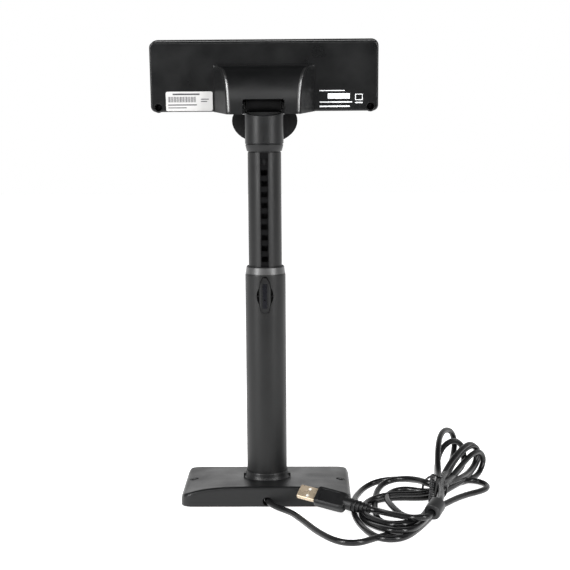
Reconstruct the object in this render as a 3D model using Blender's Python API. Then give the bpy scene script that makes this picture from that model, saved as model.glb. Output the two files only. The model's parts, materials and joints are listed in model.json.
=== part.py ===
"""Customer pole display: a tilting two-line display head on a telescopic pole and a low base.

Metres, +Z up.  The origin is on the pole's axis at the underside.  The screen faces +Y, the
cord leaves the base towards -Y, and +X is to the right when the display is seen from the rear.
"""
import math

import bmesh
import bpy
from mathutils import Vector

GAP = 0.0003

# ---------------------------------------------------------------- base
BASE_WIDTH = 0.147
BASE_DEPTH = 0.092
BASE_CORNER = 0.010
BASE_FLOOR_CLEARANCE = 0.0010
BASE_FRONT_HEIGHT = 0.0120
BASE_REAR_HEIGHT = 0.0185
BASE_SHOULDER_DROP = 0.0085
BASE_WALL = 0.0024
BASE_EDGE = 0.0030
PAD_THICKNESS = 0.0009
PLATE_BOTTOM = 0.0012
PLATE_THICKNESS = 0.0030
BASE_SCREW_X = 0.0655
BASE_SCREW_HOLE = 0.0019
RECESS_RADIUS = 0.0038
RECESS_FLOOR = 0.0108
PAD_SPANS = ((-0.0660, -0.0215), (0.0170, 0.0675))
PAD_DEPTH = (-0.0425, 0.0400)
FOOT_SCREW_CIRCLE = 0.0098
FOOT_TOP = 0.0135
CORD_SLOT_HALF = 0.0031
CORD_SLOT_TOP = 0.0100
CORD_MOUTH_X = 0.0012
CORD_MOUTH_HALF = 0.0040
CORD_MOUTH_TOP = 0.0092

# ---------------------------------------------------------------- pole
LOWER_RADIUS = 0.0177
LOWER_BORE = 0.0156
LOWER_TOP = 0.2050
LOWER_BOTTOM = 0.0048
UPPER_RADIUS = 0.01455
UPPER_BORE = 0.0123
UPPER_TOP = 0.3040
UPPER_BOTTOM = 0.1100
GROOVE_HALF = 0.0034
GROOVE_DEPTH = 0.0012
NOTCH_PITCH = 0.00932
NOTCH_HEIGHT = 0.0047
NOTCH_TOP_Z = 0.2956
NOTCH_COUNT = 18
COLLAR_BOTTOM = 0.0090
COLLAR_FLANGE = 0.0205
COLLAR_TOP = 0.0222
LUG_X = 0.0197
BUSH_SPAN = (0.1990, 0.2046)
BUSH_PLAY = 0.0002

# ---------------------------------------------------------------- latch
LATCH_PIVOT = Vector((0.0, -0.01515, 0.1798))
LATCH_PIN_RADIUS = 0.0007
LATCH_PIN_HALF = 0.0069
LATCH_PIN_PLAY = 0.00025
LATCH_HALF_HEIGHT = 0.0140
LATCH_HALF_WIDTH = 0.0050
LATCH_INNER_Y = -0.0169
LATCH_OUTER_Y = -0.0198
LATCH_FLANK_Y = -0.0176
LATCH_WINDOW_PLAY = 0.0006
LATCH_NOTCH = 11
LATCH_DISH = (0.0072, 0.0105)
LATCH_DISH_Y = -0.01606

# ---------------------------------------------------------------- neck
RING_BOTTOM = 0.3047
RING_TOP = 0.3106
RING_LOW_RADIUS = 0.0152
NECK_RADIUS = 0.0167
NECK_BORE = 0.0143
NECK_BOTTOM = RING_TOP + GAP
NECK_FLOOR = 0.0026
NECK_RIM_Z = 0.3388
NECK_RIM_SLOPE = math.radians(14.5)
SPINDLE_RADIUS = 0.0080
SPINDLE_BORE = 0.0050
SPINDLE_PLAY = 0.0002
SPINDLE_FLANGE = 0.0085
SHIELD_HALF_WIDTH = 0.0288
SHIELD_HALF_HEIGHT = 0.0200
SHIELD_DEPTH = 0.0075
SHIELD_MIDDLE_Z = 0.3310
SHIELD_TOP = 0.3366
SHIELD_SCREW_X = 0.0060
SHIELD_SCREW_Z = 0.3200
SHIELD_SCREW_SEAT_Y = 0.0205

# ---------------------------------------------------------------- tilt joint
TILT_Z = 0.3460
TILT_REST = math.radians(6.0)
BARREL_RADIUS = 0.0088
BARREL_HALF = 0.0155
TILT_PIN_RADIUS = 0.0022
TILT_PIN_PLAY = 0.0002
WASHER_SEAT = 0.0072
WASHER_RADIUS = 0.0068
EAR_INNER = 0.0182
EAR_THICKNESS = 0.0020
BRACKET_SCREW_X = 0.0120
BRACKET_SCREW_Z = 0.0365
BRACKET_BACK = 0.0115
BRACKET_THICKNESS = 0.0020
BRACKET_SPAN = (0.0130, 0.0415)
NUT_RADIUS = 0.0042

# ---------------------------------------------------------------- head, in its own frame
HEAD_DROP = 0.006
HEAD_WIDTH = 0.200
HEAD_BOTTOM = -0.003
HEAD_TOP = 0.059
HEAD_CORNER = 0.0058
HEAD_REAR = 0.009
HEAD_SEAM = 0.025
HEAD_FRONT = 0.037
HEAD_WALL = 0.0022
REAR_STEP = 0.0008
HUMP_TOP = 0.038
HUMP_DEPTH = 0.025
HUMP_FOOT_HALF = 0.0440
HUMP_NARROWING = 0.0125
HUMP_WALL = 0.0024
HUMP_NOTCH_HALF = 0.0179
HUMP_NOTCH_TOP = 0.0106
HEAD_SCREW_X = 0.0924
HEAD_SCREW_Z = 0.0017
SCREW_WELL_RADIUS = 0.0031
SCREW_TUBE_RADIUS = 0.0045
POST_X = 0.0925
POST_RADIUS = 0.0030
POST_BORE = 0.0012
DISPLAY_MIDDLE = (HEAD_BOTTOM + HEAD_TOP) / 2
APERTURE = (0.0880, 0.0200)
WINDOW = (0.0895, 0.0215)
LCD = (0.0790, 0.0150)
LCD_FRAME = (0.0830, 0.0190)
LCD_VIEW = (0.0745, 0.0115)
BOARD = (0.0960, 0.0205)
BOARD_SCREW_Z = 0.0165
LABEL_X = -0.0653
LABEL_HALF = 0.0204
LABEL_SPAN = (-0.0012, 0.0156)

# ---------------------------------------------------------------- cord
CORD_RADIUS = 0.0026
CORD_LEAD_ROUTE = (
    (0.0012, -0.0300, 0.0070), (0.0012, -0.0400, 0.0064), (0.0030, -0.0490, 0.0052),
    (0.0100, -0.0560, 0.0037), (0.0205, -0.0660, 0.0030), (0.0310, -0.0880, 0.0029),
    (0.0440, -0.1190, 0.0029), (0.0580, -0.1410, 0.0029), (0.0680, -0.1470, 0.0029),
    (0.0760, -0.1460, 0.0029), (0.0830, -0.1415, 0.0029),
)
CORD_TAIL_ROUTE = (
    Vector((0.1030, -0.0980, 0.0108)), Vector((0.1120, -0.1085, 0.0122)), Vector((0.1215, -0.1175, 0.0134)),
    Vector((0.1305, -0.1175, 0.0139)),
)
CORD_LINK_ROUTE = (Vector((0.1490, -0.0620, 0.0190)), Vector((0.1500, -0.0500, 0.0188)))
# Coil of the spare cord: centre x, y, half-width, lowest and highest point around its closed band
COIL_BAND = (
    (0.1470, -0.0280, 0.0065, 0.0022, 0.0165), (0.1460, -0.0620, 0.0075, 0.0004, 0.0120),
    (0.1390, -0.0960, 0.0090, 0.0004, 0.0070), (0.1210, -0.1205, 0.0115, 0.0004, 0.0084),
    (0.1010, -0.1225, 0.0120, 0.0004, 0.0080), (0.0860, -0.0990, 0.0095, 0.0004, 0.0042),
    (0.0830, -0.0600, 0.0080, 0.0004, 0.0040), (0.0875, -0.0150, 0.0080, 0.0004, 0.0090),
    (0.1040, 0.0140, 0.0090, 0.0004, 0.0120), (0.1280, 0.0140, 0.0090, 0.0004, 0.0140),
    (0.1420, -0.0040, 0.0075, 0.0008, 0.0155),
)
# Fan of lobes past the tie: distance along, half-width, lowest and highest point
LOBE_START = Vector((0.1598, -0.0140, 0.0))
LOBE_ALONG = Vector((0.36, 0.93, 0.0)).normalized()
LOBE_SECTIONS = (
    (0.000, 0.0058, 0.0030, 0.0150), (0.014, 0.0140, 0.0004, 0.0260), (0.030, 0.0220, 0.0004, 0.0360),
    (0.048, 0.0240, 0.0004, 0.0430), (0.064, 0.0200, 0.0010, 0.0460), (0.074, 0.0115, 0.0080, 0.0440),
)
TIE_CENTRE = Vector((0.1470, -0.0280, 0.0126))
TIE_RADIUS = 0.0120
FERRITE_LOW = Vector((0.1365, -0.1072, 0.0144))
FERRITE_ALONG = Vector((0.42, 0.87, 0.24)).normalized()
FERRITE_LENGTH = 0.0145
FERRITE_RADIUS = 0.0064
PLUG_TIP = Vector((0.0291, -0.0531, 0.0168))
PLUG_ALONG = Vector((0.910, -0.390, -0.132)).normalized()
PLUG_FACE = Vector((-0.15, -0.63, 0.76)).normalized()
PLUG_SHELL = (0.0160, 0.0120, 0.0045)
PLUG_BODY = (0.0270, 0.0160, 0.0080)
PLUG_NECK = 0.0220
PLUG_NECK_RADIUS = 0.0035


def clear_scene():
    """Start from an empty scene."""
    for item in list(bpy.data.objects):
        bpy.data.objects.remove(item, do_unlink=True)


def make_material(name, colour, roughness, metallic=0.0):
    """A plain Principled BSDF."""
    material = bpy.data.materials.new(name)
    material.use_nodes = True
    shader = material.node_tree.nodes["Principled BSDF"]
    shader.inputs["Base Color"].default_value = (*colour, 1.0)
    shader.inputs["Roughness"].default_value = roughness
    shader.inputs["Metallic"].default_value = metallic
    material.diffuse_color = (*colour, 1.0)
    return material


def make_materials():
    """Every material that the display uses."""
    return {
        "black_plastic": make_material("black_plastic", (0.030, 0.032, 0.032), 0.42),
        "tube_plastic": make_material("tube_plastic", (0.036, 0.038, 0.038), 0.50),
        "dark_plastic": make_material("dark_plastic", (0.012, 0.012, 0.013), 0.45),
        "steel": make_material("steel", (0.42, 0.42, 0.43), 0.35, 1.0),
        "black_steel": make_material("black_steel", (0.03, 0.03, 0.03), 0.40, 1.0),
        "foam": make_material("foam", (0.45, 0.03, 0.03), 0.80),
        "smoked": make_material("smoked", (0.02, 0.025, 0.03), 0.08),
        "lcd": make_material("lcd", (0.05, 0.10, 0.16), 0.10),
        "light_guide": make_material("light_guide", (0.75, 0.78, 0.80), 0.35),
        "board": make_material("board", (0.02, 0.13, 0.05), 0.45),
        "chip": make_material("chip", (0.02, 0.02, 0.02), 0.50),
        "white_plastic": make_material("white_plastic", (0.75, 0.74, 0.70), 0.45),
        "label": make_material("label", (0.82, 0.83, 0.83), 0.40),
        "cord": make_material("cord", (0.025, 0.025, 0.026), 0.38),
        "plug_metal": make_material("plug_metal", (0.62, 0.56, 0.46), 0.28, 1.0),
        "tie": make_material("tie", (0.015, 0.015, 0.016), 0.25),
    }


# ---------------------------------------------------------------- shape helpers
def finish(name, mesh_data, material, parent=None, smooth=True):
    """Close a bmesh into a named object with outward faces."""
    bmesh.ops.recalc_face_normals(mesh_data, faces=mesh_data.faces)
    mesh = bpy.data.meshes.new(name)
    mesh_data.to_mesh(mesh)
    mesh_data.free()
    item = bpy.data.objects.new(name, mesh)
    bpy.context.scene.collection.objects.link(item)
    if material is not None:
        mesh.materials.append(material)
    if smooth:
        mesh.shade_smooth()
        mesh.set_sharp_from_angle(angle=math.radians(32))
    if parent is not None:
        item.parent = parent
    return item


def skin_rings(mesh_data, rings, joined):
    """Bridge rings of equal length; cap both ends unless the last joins the first."""
    loops = [[mesh_data.verts.new(point) for point in ring] for ring in rings]
    count = len(loops[0])
    pairs = list(zip(loops, loops[1:]))
    if joined:
        pairs.append((loops[-1], loops[0]))
    for low, high in pairs:
        for i in range(count):
            j = (i + 1) % count
            mesh_data.faces.new((low[i], low[j], high[j], high[i]))
    if not joined:
        mesh_data.faces.new(list(reversed(loops[0])))
        mesh_data.faces.new(loops[-1])


def ring_solid(name, rings, material, parent=None, joined=False):
    """One closed solid skinned over a list of rings."""
    mesh_data = bmesh.new()
    skin_rings(mesh_data, rings, joined)
    return finish(name, mesh_data, material, parent)


def turned(name, profile, material, parent=None, axis="Z", segments=48, centre=(0, 0, 0)):
    """Turn (radius, height) points about an axis; a profile that returns makes a tube."""
    rings = []
    for radius, height in profile:
        ring = []
        for i in range(segments):
            angle = 2 * math.pi * i / segments
            a, b = radius * math.cos(angle), radius * math.sin(angle)
            point = {"Z": (a, b, height), "Y": (a, height, b), "X": (height, a, b)}[axis]
            ring.append(Vector(point) + Vector(centre))
        rings.append(ring)
    closed = (Vector(profile[0]) - Vector(profile[-1])).length < 1e-9
    if closed:
        rings.pop()
    return ring_solid(name, rings, material, parent, joined=closed)


def pipe_profile(bore, radius, low, high, edge=0.0):
    """Closed profile of a plain tube with an optional outer edge bevel."""
    points = [(bore, low), (radius - edge, low)]
    if edge:
        points += [(radius, low + edge), (radius, high - edge)]
    points += [(radius - edge, high), (bore, high), (bore, low)]
    return points


def rounded_outline(half_width, low, high, corner, steps=5):
    """Outline points of a rounded rectangle, counter-clockwise in (x, v)."""
    centres = (
        (half_width - corner, high - corner, 0.0), (corner - half_width, high - corner, 0.5),
        (corner - half_width, low + corner, 1.0), (half_width - corner, low + corner, 1.5),
    )
    points = []
    for cx, cv, turn in centres:
        for i in range(steps + 1):
            angle = math.pi * (turn + 0.5 * i / steps)
            points.append((cx + corner * math.cos(angle), cv + corner * math.sin(angle)))
    return points


def slab(name, outline, low, high, material, parent=None, plane="XY", edge=0.0, offset=(0, 0)):
    """Extrude an outline between two levels, with an optional bevelled edge by shrinking."""
    xs = [p[0] for p in outline]
    vs = [p[1] for p in outline]
    middle = ((min(xs) + max(xs)) / 2, (min(vs) + max(vs)) / 2)
    half = ((max(xs) - min(xs)) / 2, (max(vs) - min(vs)) / 2)

    def level(height, inset):
        ring = []
        for x, v in outline:
            u = middle[0] + (x - middle[0]) * (1 - inset / half[0]) + offset[0]
            w = middle[1] + (v - middle[1]) * (1 - inset / half[1]) + offset[1]
            ring.append({"XY": (u, w, height), "XZ": (u, height, w), "YZ": (height, u, w)}[plane])
        return ring

    levels = [(low, 0), (high, 0)]
    if edge:
        levels = [(low, edge), (low + edge, 0), (high - edge, 0), (high, edge)]
    return ring_solid(name, [level(h, i) for h, i in levels], material, parent)


def block(name, low, high, material, parent=None, edge=0.0):
    """A box between two corners, with an optional bevel modifier."""
    mesh_data = bmesh.new()
    bmesh.ops.create_cube(mesh_data, size=1.0)
    low, high = Vector(low), Vector(high)
    for vert in mesh_data.verts:
        vert.co = Vector(low[k] + (vert.co[k] + 0.5) * (high[k] - low[k]) for k in range(3))
    if edge:
        bmesh.ops.bevel(mesh_data, geom=list(mesh_data.edges), offset=edge, segments=1, affect="EDGES")
    return finish(name, mesh_data, material, parent)


def rod(name, start, end, radius, material, parent=None, segments=16):
    """A plain cylinder between two points."""
    start, end = Vector(start), Vector(end)
    along = (end - start).normalized()
    side = along.orthogonal().normalized()
    other = along.cross(side)
    rings = []
    for centre in (start, end):
        ring = []
        for i in range(segments):
            angle = 2 * math.pi * i / segments
            ring.append(centre + radius * (math.cos(angle) * side + math.sin(angle) * other))
        rings.append(ring)
    return ring_solid(name, rings, material, parent)


def combine(target, tool, operation="DIFFERENCE"):
    """Cut a tool from a target, or join it on, and keep the tool as a hidden guide."""
    tool.hide_render = True
    tool.display_type = "WIRE"
    modifier = target.modifiers.new(tool.name, "BOOLEAN")
    modifier.operation = operation
    modifier.solver = "EXACT"
    modifier.object = tool


def holder(name, location, rotation=(0, 0, 0), parent=None):
    """An empty on a joint's axis."""
    item = bpy.data.objects.new(name, None)
    bpy.context.scene.collection.objects.link(item)
    item.location = location
    item.rotation_euler = rotation
    item.parent = parent
    return item


# ---------------------------------------------------------------- base
def base_top(x, y):
    """Height of the base's top: straight at the front, arched at the rear."""
    arch = BASE_REAR_HEIGHT - BASE_SHOULDER_DROP * (abs(x) / (BASE_WIDTH / 2)) ** 4
    share = 0.5 - y / BASE_DEPTH
    return BASE_FRONT_HEIGHT + (arch - BASE_FRONT_HEIGHT) * share


def base_section(x, inset, floor, edge):
    """Cross-section of the base in the YZ plane at one x."""
    half_width = BASE_WIDTH / 2 - inset
    corner = BASE_CORNER - inset
    past = max(0.0, abs(x) - (half_width - corner))
    half_depth = BASE_DEPTH / 2 - inset - (corner - math.sqrt(max(corner ** 2 - past ** 2, 0.0)))
    end_drop = edge * max(0.0, 1 - (half_width - abs(x)) / edge) ** 2
    points = [(-half_depth, floor), (half_depth, floor)]
    for i in range(4):
        angle = 0.5 * math.pi * i / 3
        y = half_depth - edge + edge * math.cos(angle)
        points.append((y, base_top(x, y) - inset - end_drop - edge * (1 - math.sin(angle))))
    for i in range(4):
        angle = 0.5 * math.pi * (1 + i / 3)
        y = -half_depth + edge + edge * math.cos(angle)
        points.append((y, base_top(x, y) - inset - end_drop - edge * (1 - math.sin(angle))))
    return [(x, y, z) for y, z in points]


def base_solid(name, inset, floor, edge, material):
    """Loft the base's outer or inner shape along X."""
    half = BASE_WIDTH / 2 - inset
    steps = (0.0, 0.0008, 0.0020, 0.0038, 0.0062, 0.0095, 0.0150, 0.0230, 0.0330, 0.0450, 0.0600)
    right = [half - step for step in steps]
    stations = [-x for x in right] + [0.0] + list(reversed(right))
    return ring_solid(name, [base_section(x, inset, floor, edge) for x in stations], material)


def make_base_cover(materials):
    """Moulded cover, hollow underneath, with the pole's hole, screw recesses and cord mouth."""
    cover = base_solid("base_cover", 0.0, BASE_FLOOR_CLEARANCE, BASE_EDGE, materials["black_plastic"])
    combine(cover, base_solid("cut_base_inside", BASE_WALL, -0.001, 0.0010, None))
    combine(cover, rod("cut_base_pole", (0, 0, 0), (0, 0, 0.03), LOWER_RADIUS + GAP, None, segments=48))
    for side in (-1, 1):
        x = side * BASE_SCREW_X
        top = (x, 0, 0.02)
        combine(cover, rod(f"cut_base_recess_{side}", (x, 0, RECESS_FLOOR), top, RECESS_RADIUS, None))
        combine(cover, rod(f"cut_base_screw_{side}", (x, 0, 0), top, BASE_SCREW_HOLE, None))
    mouth = rounded_outline(CORD_MOUTH_HALF, -0.004, CORD_MOUTH_TOP, CORD_MOUTH_HALF - 0.0001, 6)
    mouth_tool = slab("cut_cord_mouth", mouth, -0.050, -0.040, None, plane="XZ", offset=(CORD_MOUTH_X, 0))
    combine(cover, mouth_tool)
    return cover


def make_weight_plate(materials):
    """Steel plate that closes the base's underside and gives it weight."""
    inset = BASE_WALL + GAP
    outline = rounded_outline(BASE_WIDTH / 2 - inset, inset - BASE_DEPTH / 2, BASE_DEPTH / 2 - inset, 0.007)
    top = PLATE_BOTTOM + PLATE_THICKNESS
    plate = slab("weight_plate", outline, PLATE_BOTTOM, top, materials["steel"])
    for side in (-1, 1):
        x = side * BASE_SCREW_X
        combine(plate, rod(f"cut_plate_{side}", (x, 0, 0), (x, 0, 0.01), BASE_SCREW_HOLE, None))
    left = CORD_MOUTH_X - CORD_MOUTH_HALF + 0.0005
    right = CORD_MOUTH_X + CORD_MOUTH_HALF - 0.0005
    combine(plate, block("cut_plate_notch", (left, -0.050, 0), (right, -0.034, 0.01), None))
    for i, (x, y) in enumerate(foot_screw_places()):
        combine(plate, rod(f"cut_plate_foot_{i}", (x, y, 0), (x, y, 0.01), 0.0017, None))
        combine(plate, rod(f"cut_plate_head_{i}", (x, y, 0), (x, y, 0.0029), 0.0033, None))
    return plate


def foot_screw_places():
    """Three screws on a circle hold the pole's foot to the plate."""
    angles = [math.radians(degrees) for degrees in (90, 210, 330)]
    return [(FOOT_SCREW_CIRCLE * math.cos(a), FOOT_SCREW_CIRCLE * math.sin(a)) for a in angles]


def make_pads(materials):
    """Two adhesive pads with their release liner still on."""
    for name, (low, high) in zip(("adhesive_pad_left", "adhesive_pad_right"), PAD_SPANS):
        middle = (low + high) / 2
        outline = [(x + middle, y) for x, y in rounded_outline((high - low) / 2, *PAD_DEPTH, 0.002, 3)]
        slab(name, outline, 0.0, PAD_THICKNESS, materials["foam"])


def make_base_screws(materials):
    """Screws in the two top recesses, and three under the pole's foot."""
    for name, side in (("base_screw_left", -1), ("base_screw_right", 1)):
        x = side * BASE_SCREW_X
        seat = RECESS_FLOOR + GAP
        shank, head, rim, top = 0.0015, 0.0031, seat + 0.0008, seat + 0.0017
        profile = [(shank, 0.0014), (shank, seat), (head, seat), (head, rim), (0.0018, top)]
        screw = turned(name, profile, materials["black_steel"], segments=16, centre=(x, 0, 0))
        slot_low, slot_high = (x - 0.0016, -0.0004, top - 0.0006), (x + 0.0016, 0.0004, top + 0.001)
        combine(screw, block(f"cut_{name}", slot_low, slot_high, None))
    for i, (x, y) in enumerate(foot_screw_places()):
        profile = [(0.0028, 0.0014), (0.0028, 0.0024), (0.0013, 0.0026), (0.0013, 0.0090)]
        turned(f"foot_screw_{i + 1}", profile, materials["steel"], segments=12, centre=(x, y, 0))


def cord_slot(name, front):
    """Cutter for the slot that the cord passes through at the pole's lower end."""
    low = (CORD_MOUTH_X - CORD_SLOT_HALF, -0.020, 0.0)
    high = (CORD_MOUTH_X + CORD_SLOT_HALF, front, CORD_SLOT_TOP)
    return block(name, low, high, None)


def make_pole_foot(materials):
    """Plug inside the pole's lower end; the screws pull it down and the cord passes through."""
    low = PLATE_BOTTOM + PLATE_THICKNESS + GAP
    profile = pipe_profile(0.0048, LOWER_BORE - GAP, low, FOOT_TOP)
    foot = turned("pole_foot", profile, materials["dark_plastic"])
    combine(foot, cord_slot("cut_foot_slot", 0.001))
    for i, (x, y) in enumerate(foot_screw_places()):
        combine(foot, rod(f"cut_foot_{i}", (x, y, 0), (x, y, 0.0100), 0.0016, None, segments=12))
    return foot


def make_foot_collar(materials):
    """Flared collar around the pole where it enters the base, with a lug on each side."""
    bore = LOWER_RADIUS + GAP
    profile = [
        (bore, COLLAR_BOTTOM), (COLLAR_FLANGE, COLLAR_BOTTOM), (COLLAR_FLANGE, COLLAR_TOP - 0.0064),
        (COLLAR_FLANGE - 0.0009, COLLAR_TOP - 0.0050), (COLLAR_FLANGE - 0.0015, COLLAR_TOP - 0.0032),
        (COLLAR_FLANGE - 0.0018, COLLAR_TOP - 0.0006), (COLLAR_FLANGE - 0.0021, COLLAR_TOP),
        (bore, COLLAR_TOP), (bore, COLLAR_BOTTOM),
    ]
    collar = turned("foot_collar", profile, materials["black_plastic"])
    for side in (-1, 1):
        low = (side * LUG_X - 0.0012, -0.0030, 0.0120)
        high = (side * LUG_X + 0.0012, 0.0030, 0.0190)
        combine(collar, block(f"join_lug_{side}", low, high, None), "UNION")
    corners = [(x, y) for y in (-0.03, 0.03) for x in (-0.03, 0.03)]
    top = [(x, y, base_top(0, y) + GAP) for x, y in (corners[0], corners[1], corners[3], corners[2])]
    bottom = [(x, y, 0.0) for x, y, _ in top]
    combine(collar, ring_solid("cut_collar_base", [bottom, top], None))
    return collar


# ---------------------------------------------------------------- pole
def latch_outline(extra=0.0):
    """Outline of the latch button: a long lozenge with a pointed top."""
    w, h = LATCH_HALF_WIDTH + extra, LATCH_HALF_HEIGHT + extra
    return [
        (w, -0.005), (w, 0.005), (0.80 * w, 0.80 * h), (0.30 * w, 1.16 * h), (-0.30 * w, 1.16 * h),
        (-0.80 * w, 0.80 * h), (-w, 0.005), (-w, -0.005), (-0.70 * w, -0.86 * h), (-0.5 * w, -h),
        (0.5 * w, -h), (0.70 * w, -0.86 * h),
    ]


def make_lower_tube(materials):
    """Outer pole tube with a bevelled rim, the latch window and its finger dish."""
    rim = LOWER_RADIUS - 0.0012
    profile = [
        (LOWER_BORE, LOWER_BOTTOM), (LOWER_RADIUS, LOWER_BOTTOM), (LOWER_RADIUS, LOWER_TOP - 0.0066),
        (rim, LOWER_TOP - 0.0006), (rim - 0.0006, LOWER_TOP), (LOWER_BORE, LOWER_TOP),
        (LOWER_BORE, LOWER_BOTTOM),
    ]
    tube = turned("lower_tube", profile, materials["tube_plastic"], segments=64)
    window = slab("cut_latch_window", latch_outline(LATCH_WINDOW_PLAY), -0.022, -0.010, None, plane="XZ")
    window.location = (0, 0, LATCH_PIVOT.z)
    combine(tube, window)
    angles = [2 * math.pi * i / 24 for i in range(24)]
    dish = [(LATCH_DISH[0] * math.cos(a), LATCH_DISH[1] * math.sin(a)) for a in angles]
    dish_tool = slab("cut_latch_dish", dish, -0.022, LATCH_DISH_Y, None, plane="XZ")
    dish_tool.location = (0, 0, LATCH_PIVOT.z)
    combine(tube, dish_tool)
    pin_end = LATCH_PIN_HALF + LATCH_PIN_PLAY
    place = LATCH_PIVOT
    combine(tube, rod("cut_latch_pin", (-pin_end, place.y, place.z), (pin_end, place.y, place.z),
                      LATCH_PIN_RADIUS + LATCH_PIN_PLAY, None, segments=12))
    combine(tube, cord_slot("cut_cord_notch", -0.010))
    return tube


def make_latch(materials, pivot):
    """Rocking button: a nose in the pole's groove above its pin, a thumb press below."""
    plastic = materials["dark_plastic"]
    button = slab("latch_button", latch_outline(), LATCH_OUTER_Y, LATCH_INNER_Y, plastic, plane="XZ")
    button.location = (0, -LATCH_PIVOT.y, 0)
    button.parent = pivot
    outer = LATCH_OUTER_Y - 0.002
    for side in (-1, 1):
        edge = side * LATCH_HALF_WIDTH
        far = (2 * edge, LATCH_FLANK_Y - 0.0006)
        flank = [(side * 0.0024, outer), (2 * edge, outer), far, (edge, LATCH_FLANK_Y)]
        rings = [[(x, y, z) for x, y in flank] for z in (-0.02, 0.02)]
        tool = ring_solid(f"cut_latch_flank_{side}", rings, None, pivot)
        tool.location = (0, -LATCH_PIVOT.y, 0)
        combine(button, tool)
    lug = block("join_latch_lug", (-0.0030, 0.0007, -0.0025), (0.0030, -0.0018, 0.0025), None, pivot)
    combine(button, lug, "UNION")
    nose_z = NOTCH_TOP_Z - LATCH_NOTCH * NOTCH_PITCH - LATCH_PIVOT.z
    nose_low, nose_high = (-0.0018, -0.0018, nose_z - 0.0015), (0.0018, 0.0013, nose_z + 0.0015)
    combine(button, block("join_latch_nose", nose_low, nose_high, None, pivot), "UNION")
    bore = LATCH_PIN_RADIUS + LATCH_PIN_PLAY
    combine(button, rod("cut_latch_hole", (-0.01, 0, 0), (0.01, 0, 0), bore, None, pivot, 12))
    place = LATCH_PIVOT
    rod("latch_pin", (-LATCH_PIN_HALF, place.y, place.z), (LATCH_PIN_HALF, place.y, place.z),
        LATCH_PIN_RADIUS, materials["steel"], segments=12)


def make_guide_bush(materials):
    """Thin bush inside the lower tube's mouth that keeps the upper tube from rattling."""
    profile = pipe_profile(UPPER_RADIUS + BUSH_PLAY, LOWER_BORE - BUSH_PLAY, *BUSH_SPAN)
    turned("guide_bush", profile, materials["dark_plastic"])


def make_upper_tube(materials, mast):
    """Inner pole tube with a groove up its rear and a ladder of notches in it."""
    tube = turned("upper_tube", pipe_profile(UPPER_BORE, UPPER_RADIUS, UPPER_BOTTOM, UPPER_TOP, 0.0004),
                  materials["tube_plastic"], mast, segments=64)
    floor = -(UPPER_RADIUS - GROOVE_DEPTH)
    low = UPPER_BOTTOM + 0.010
    groove_low, groove_high = (-GROOVE_HALF, -0.02, low), (GROOVE_HALF, floor, UPPER_TOP + 0.001)
    combine(tube, block("cut_groove", groove_low, groove_high, None))
    notches = bmesh.new()
    for i in range(NOTCH_COUNT):
        middle = NOTCH_TOP_Z - i * NOTCH_PITCH
        cube = bmesh.ops.create_cube(notches, size=1.0)["verts"]
        for vert in cube:
            x, y, z = vert.co
            vert.co = (x * (2 * GROOVE_HALF - 0.0006), -0.0125 + y * 0.007, middle + z * NOTCH_HEIGHT)
    combine(tube, finish("cut_notches", notches, None, smooth=False))
    return tube


def make_swivel(materials, mast):
    """Tapered ring on top of the upper tube, its hollow spindle and the clip that keeps the neck on."""
    bore = SPINDLE_FLANGE + GAP
    plug_bottom = RING_BOTTOM - 0.012
    profile = [
        (bore, plug_bottom), (UPPER_BORE - GAP, plug_bottom), (UPPER_BORE - GAP, RING_BOTTOM),
        (RING_LOW_RADIUS, RING_BOTTOM), (NECK_RADIUS - 0.0001, RING_TOP), (bore, RING_TOP),
        (bore, plug_bottom),
    ]
    turned("swivel_ring", profile, materials["black_plastic"], mast)
    top = NECK_BOTTOM + NECK_FLOOR
    spindle_bottom = RING_BOTTOM - 0.010
    groove = SPINDLE_RADIUS - 0.0006
    spindle = [
        (SPINDLE_BORE, spindle_bottom), (SPINDLE_FLANGE, spindle_bottom), (SPINDLE_FLANGE, RING_TOP - 0.001),
        (SPINDLE_RADIUS, RING_TOP - 0.001), (SPINDLE_RADIUS, top + 0.0006), (groove, top + 0.0006),
        (groove, top + 0.0020), (SPINDLE_RADIUS, top + 0.0020), (SPINDLE_RADIUS - 0.0004, top + 0.0032),
        (SPINDLE_BORE, top + 0.0032), (SPINDLE_BORE, spindle_bottom),
    ]
    turned("swivel_spindle", spindle, materials["dark_plastic"], mast, segments=32)
    clip_profile = pipe_profile(groove + 0.0002, 0.0108, top + 0.0008, top + 0.0018)
    clip = turned("swivel_clip", clip_profile, materials["steel"], mast, segments=32)
    combine(clip, block("cut_clip_gap", (-0.002, 0.0, top), (0.002, 0.012, top + 0.004), None))


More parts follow.
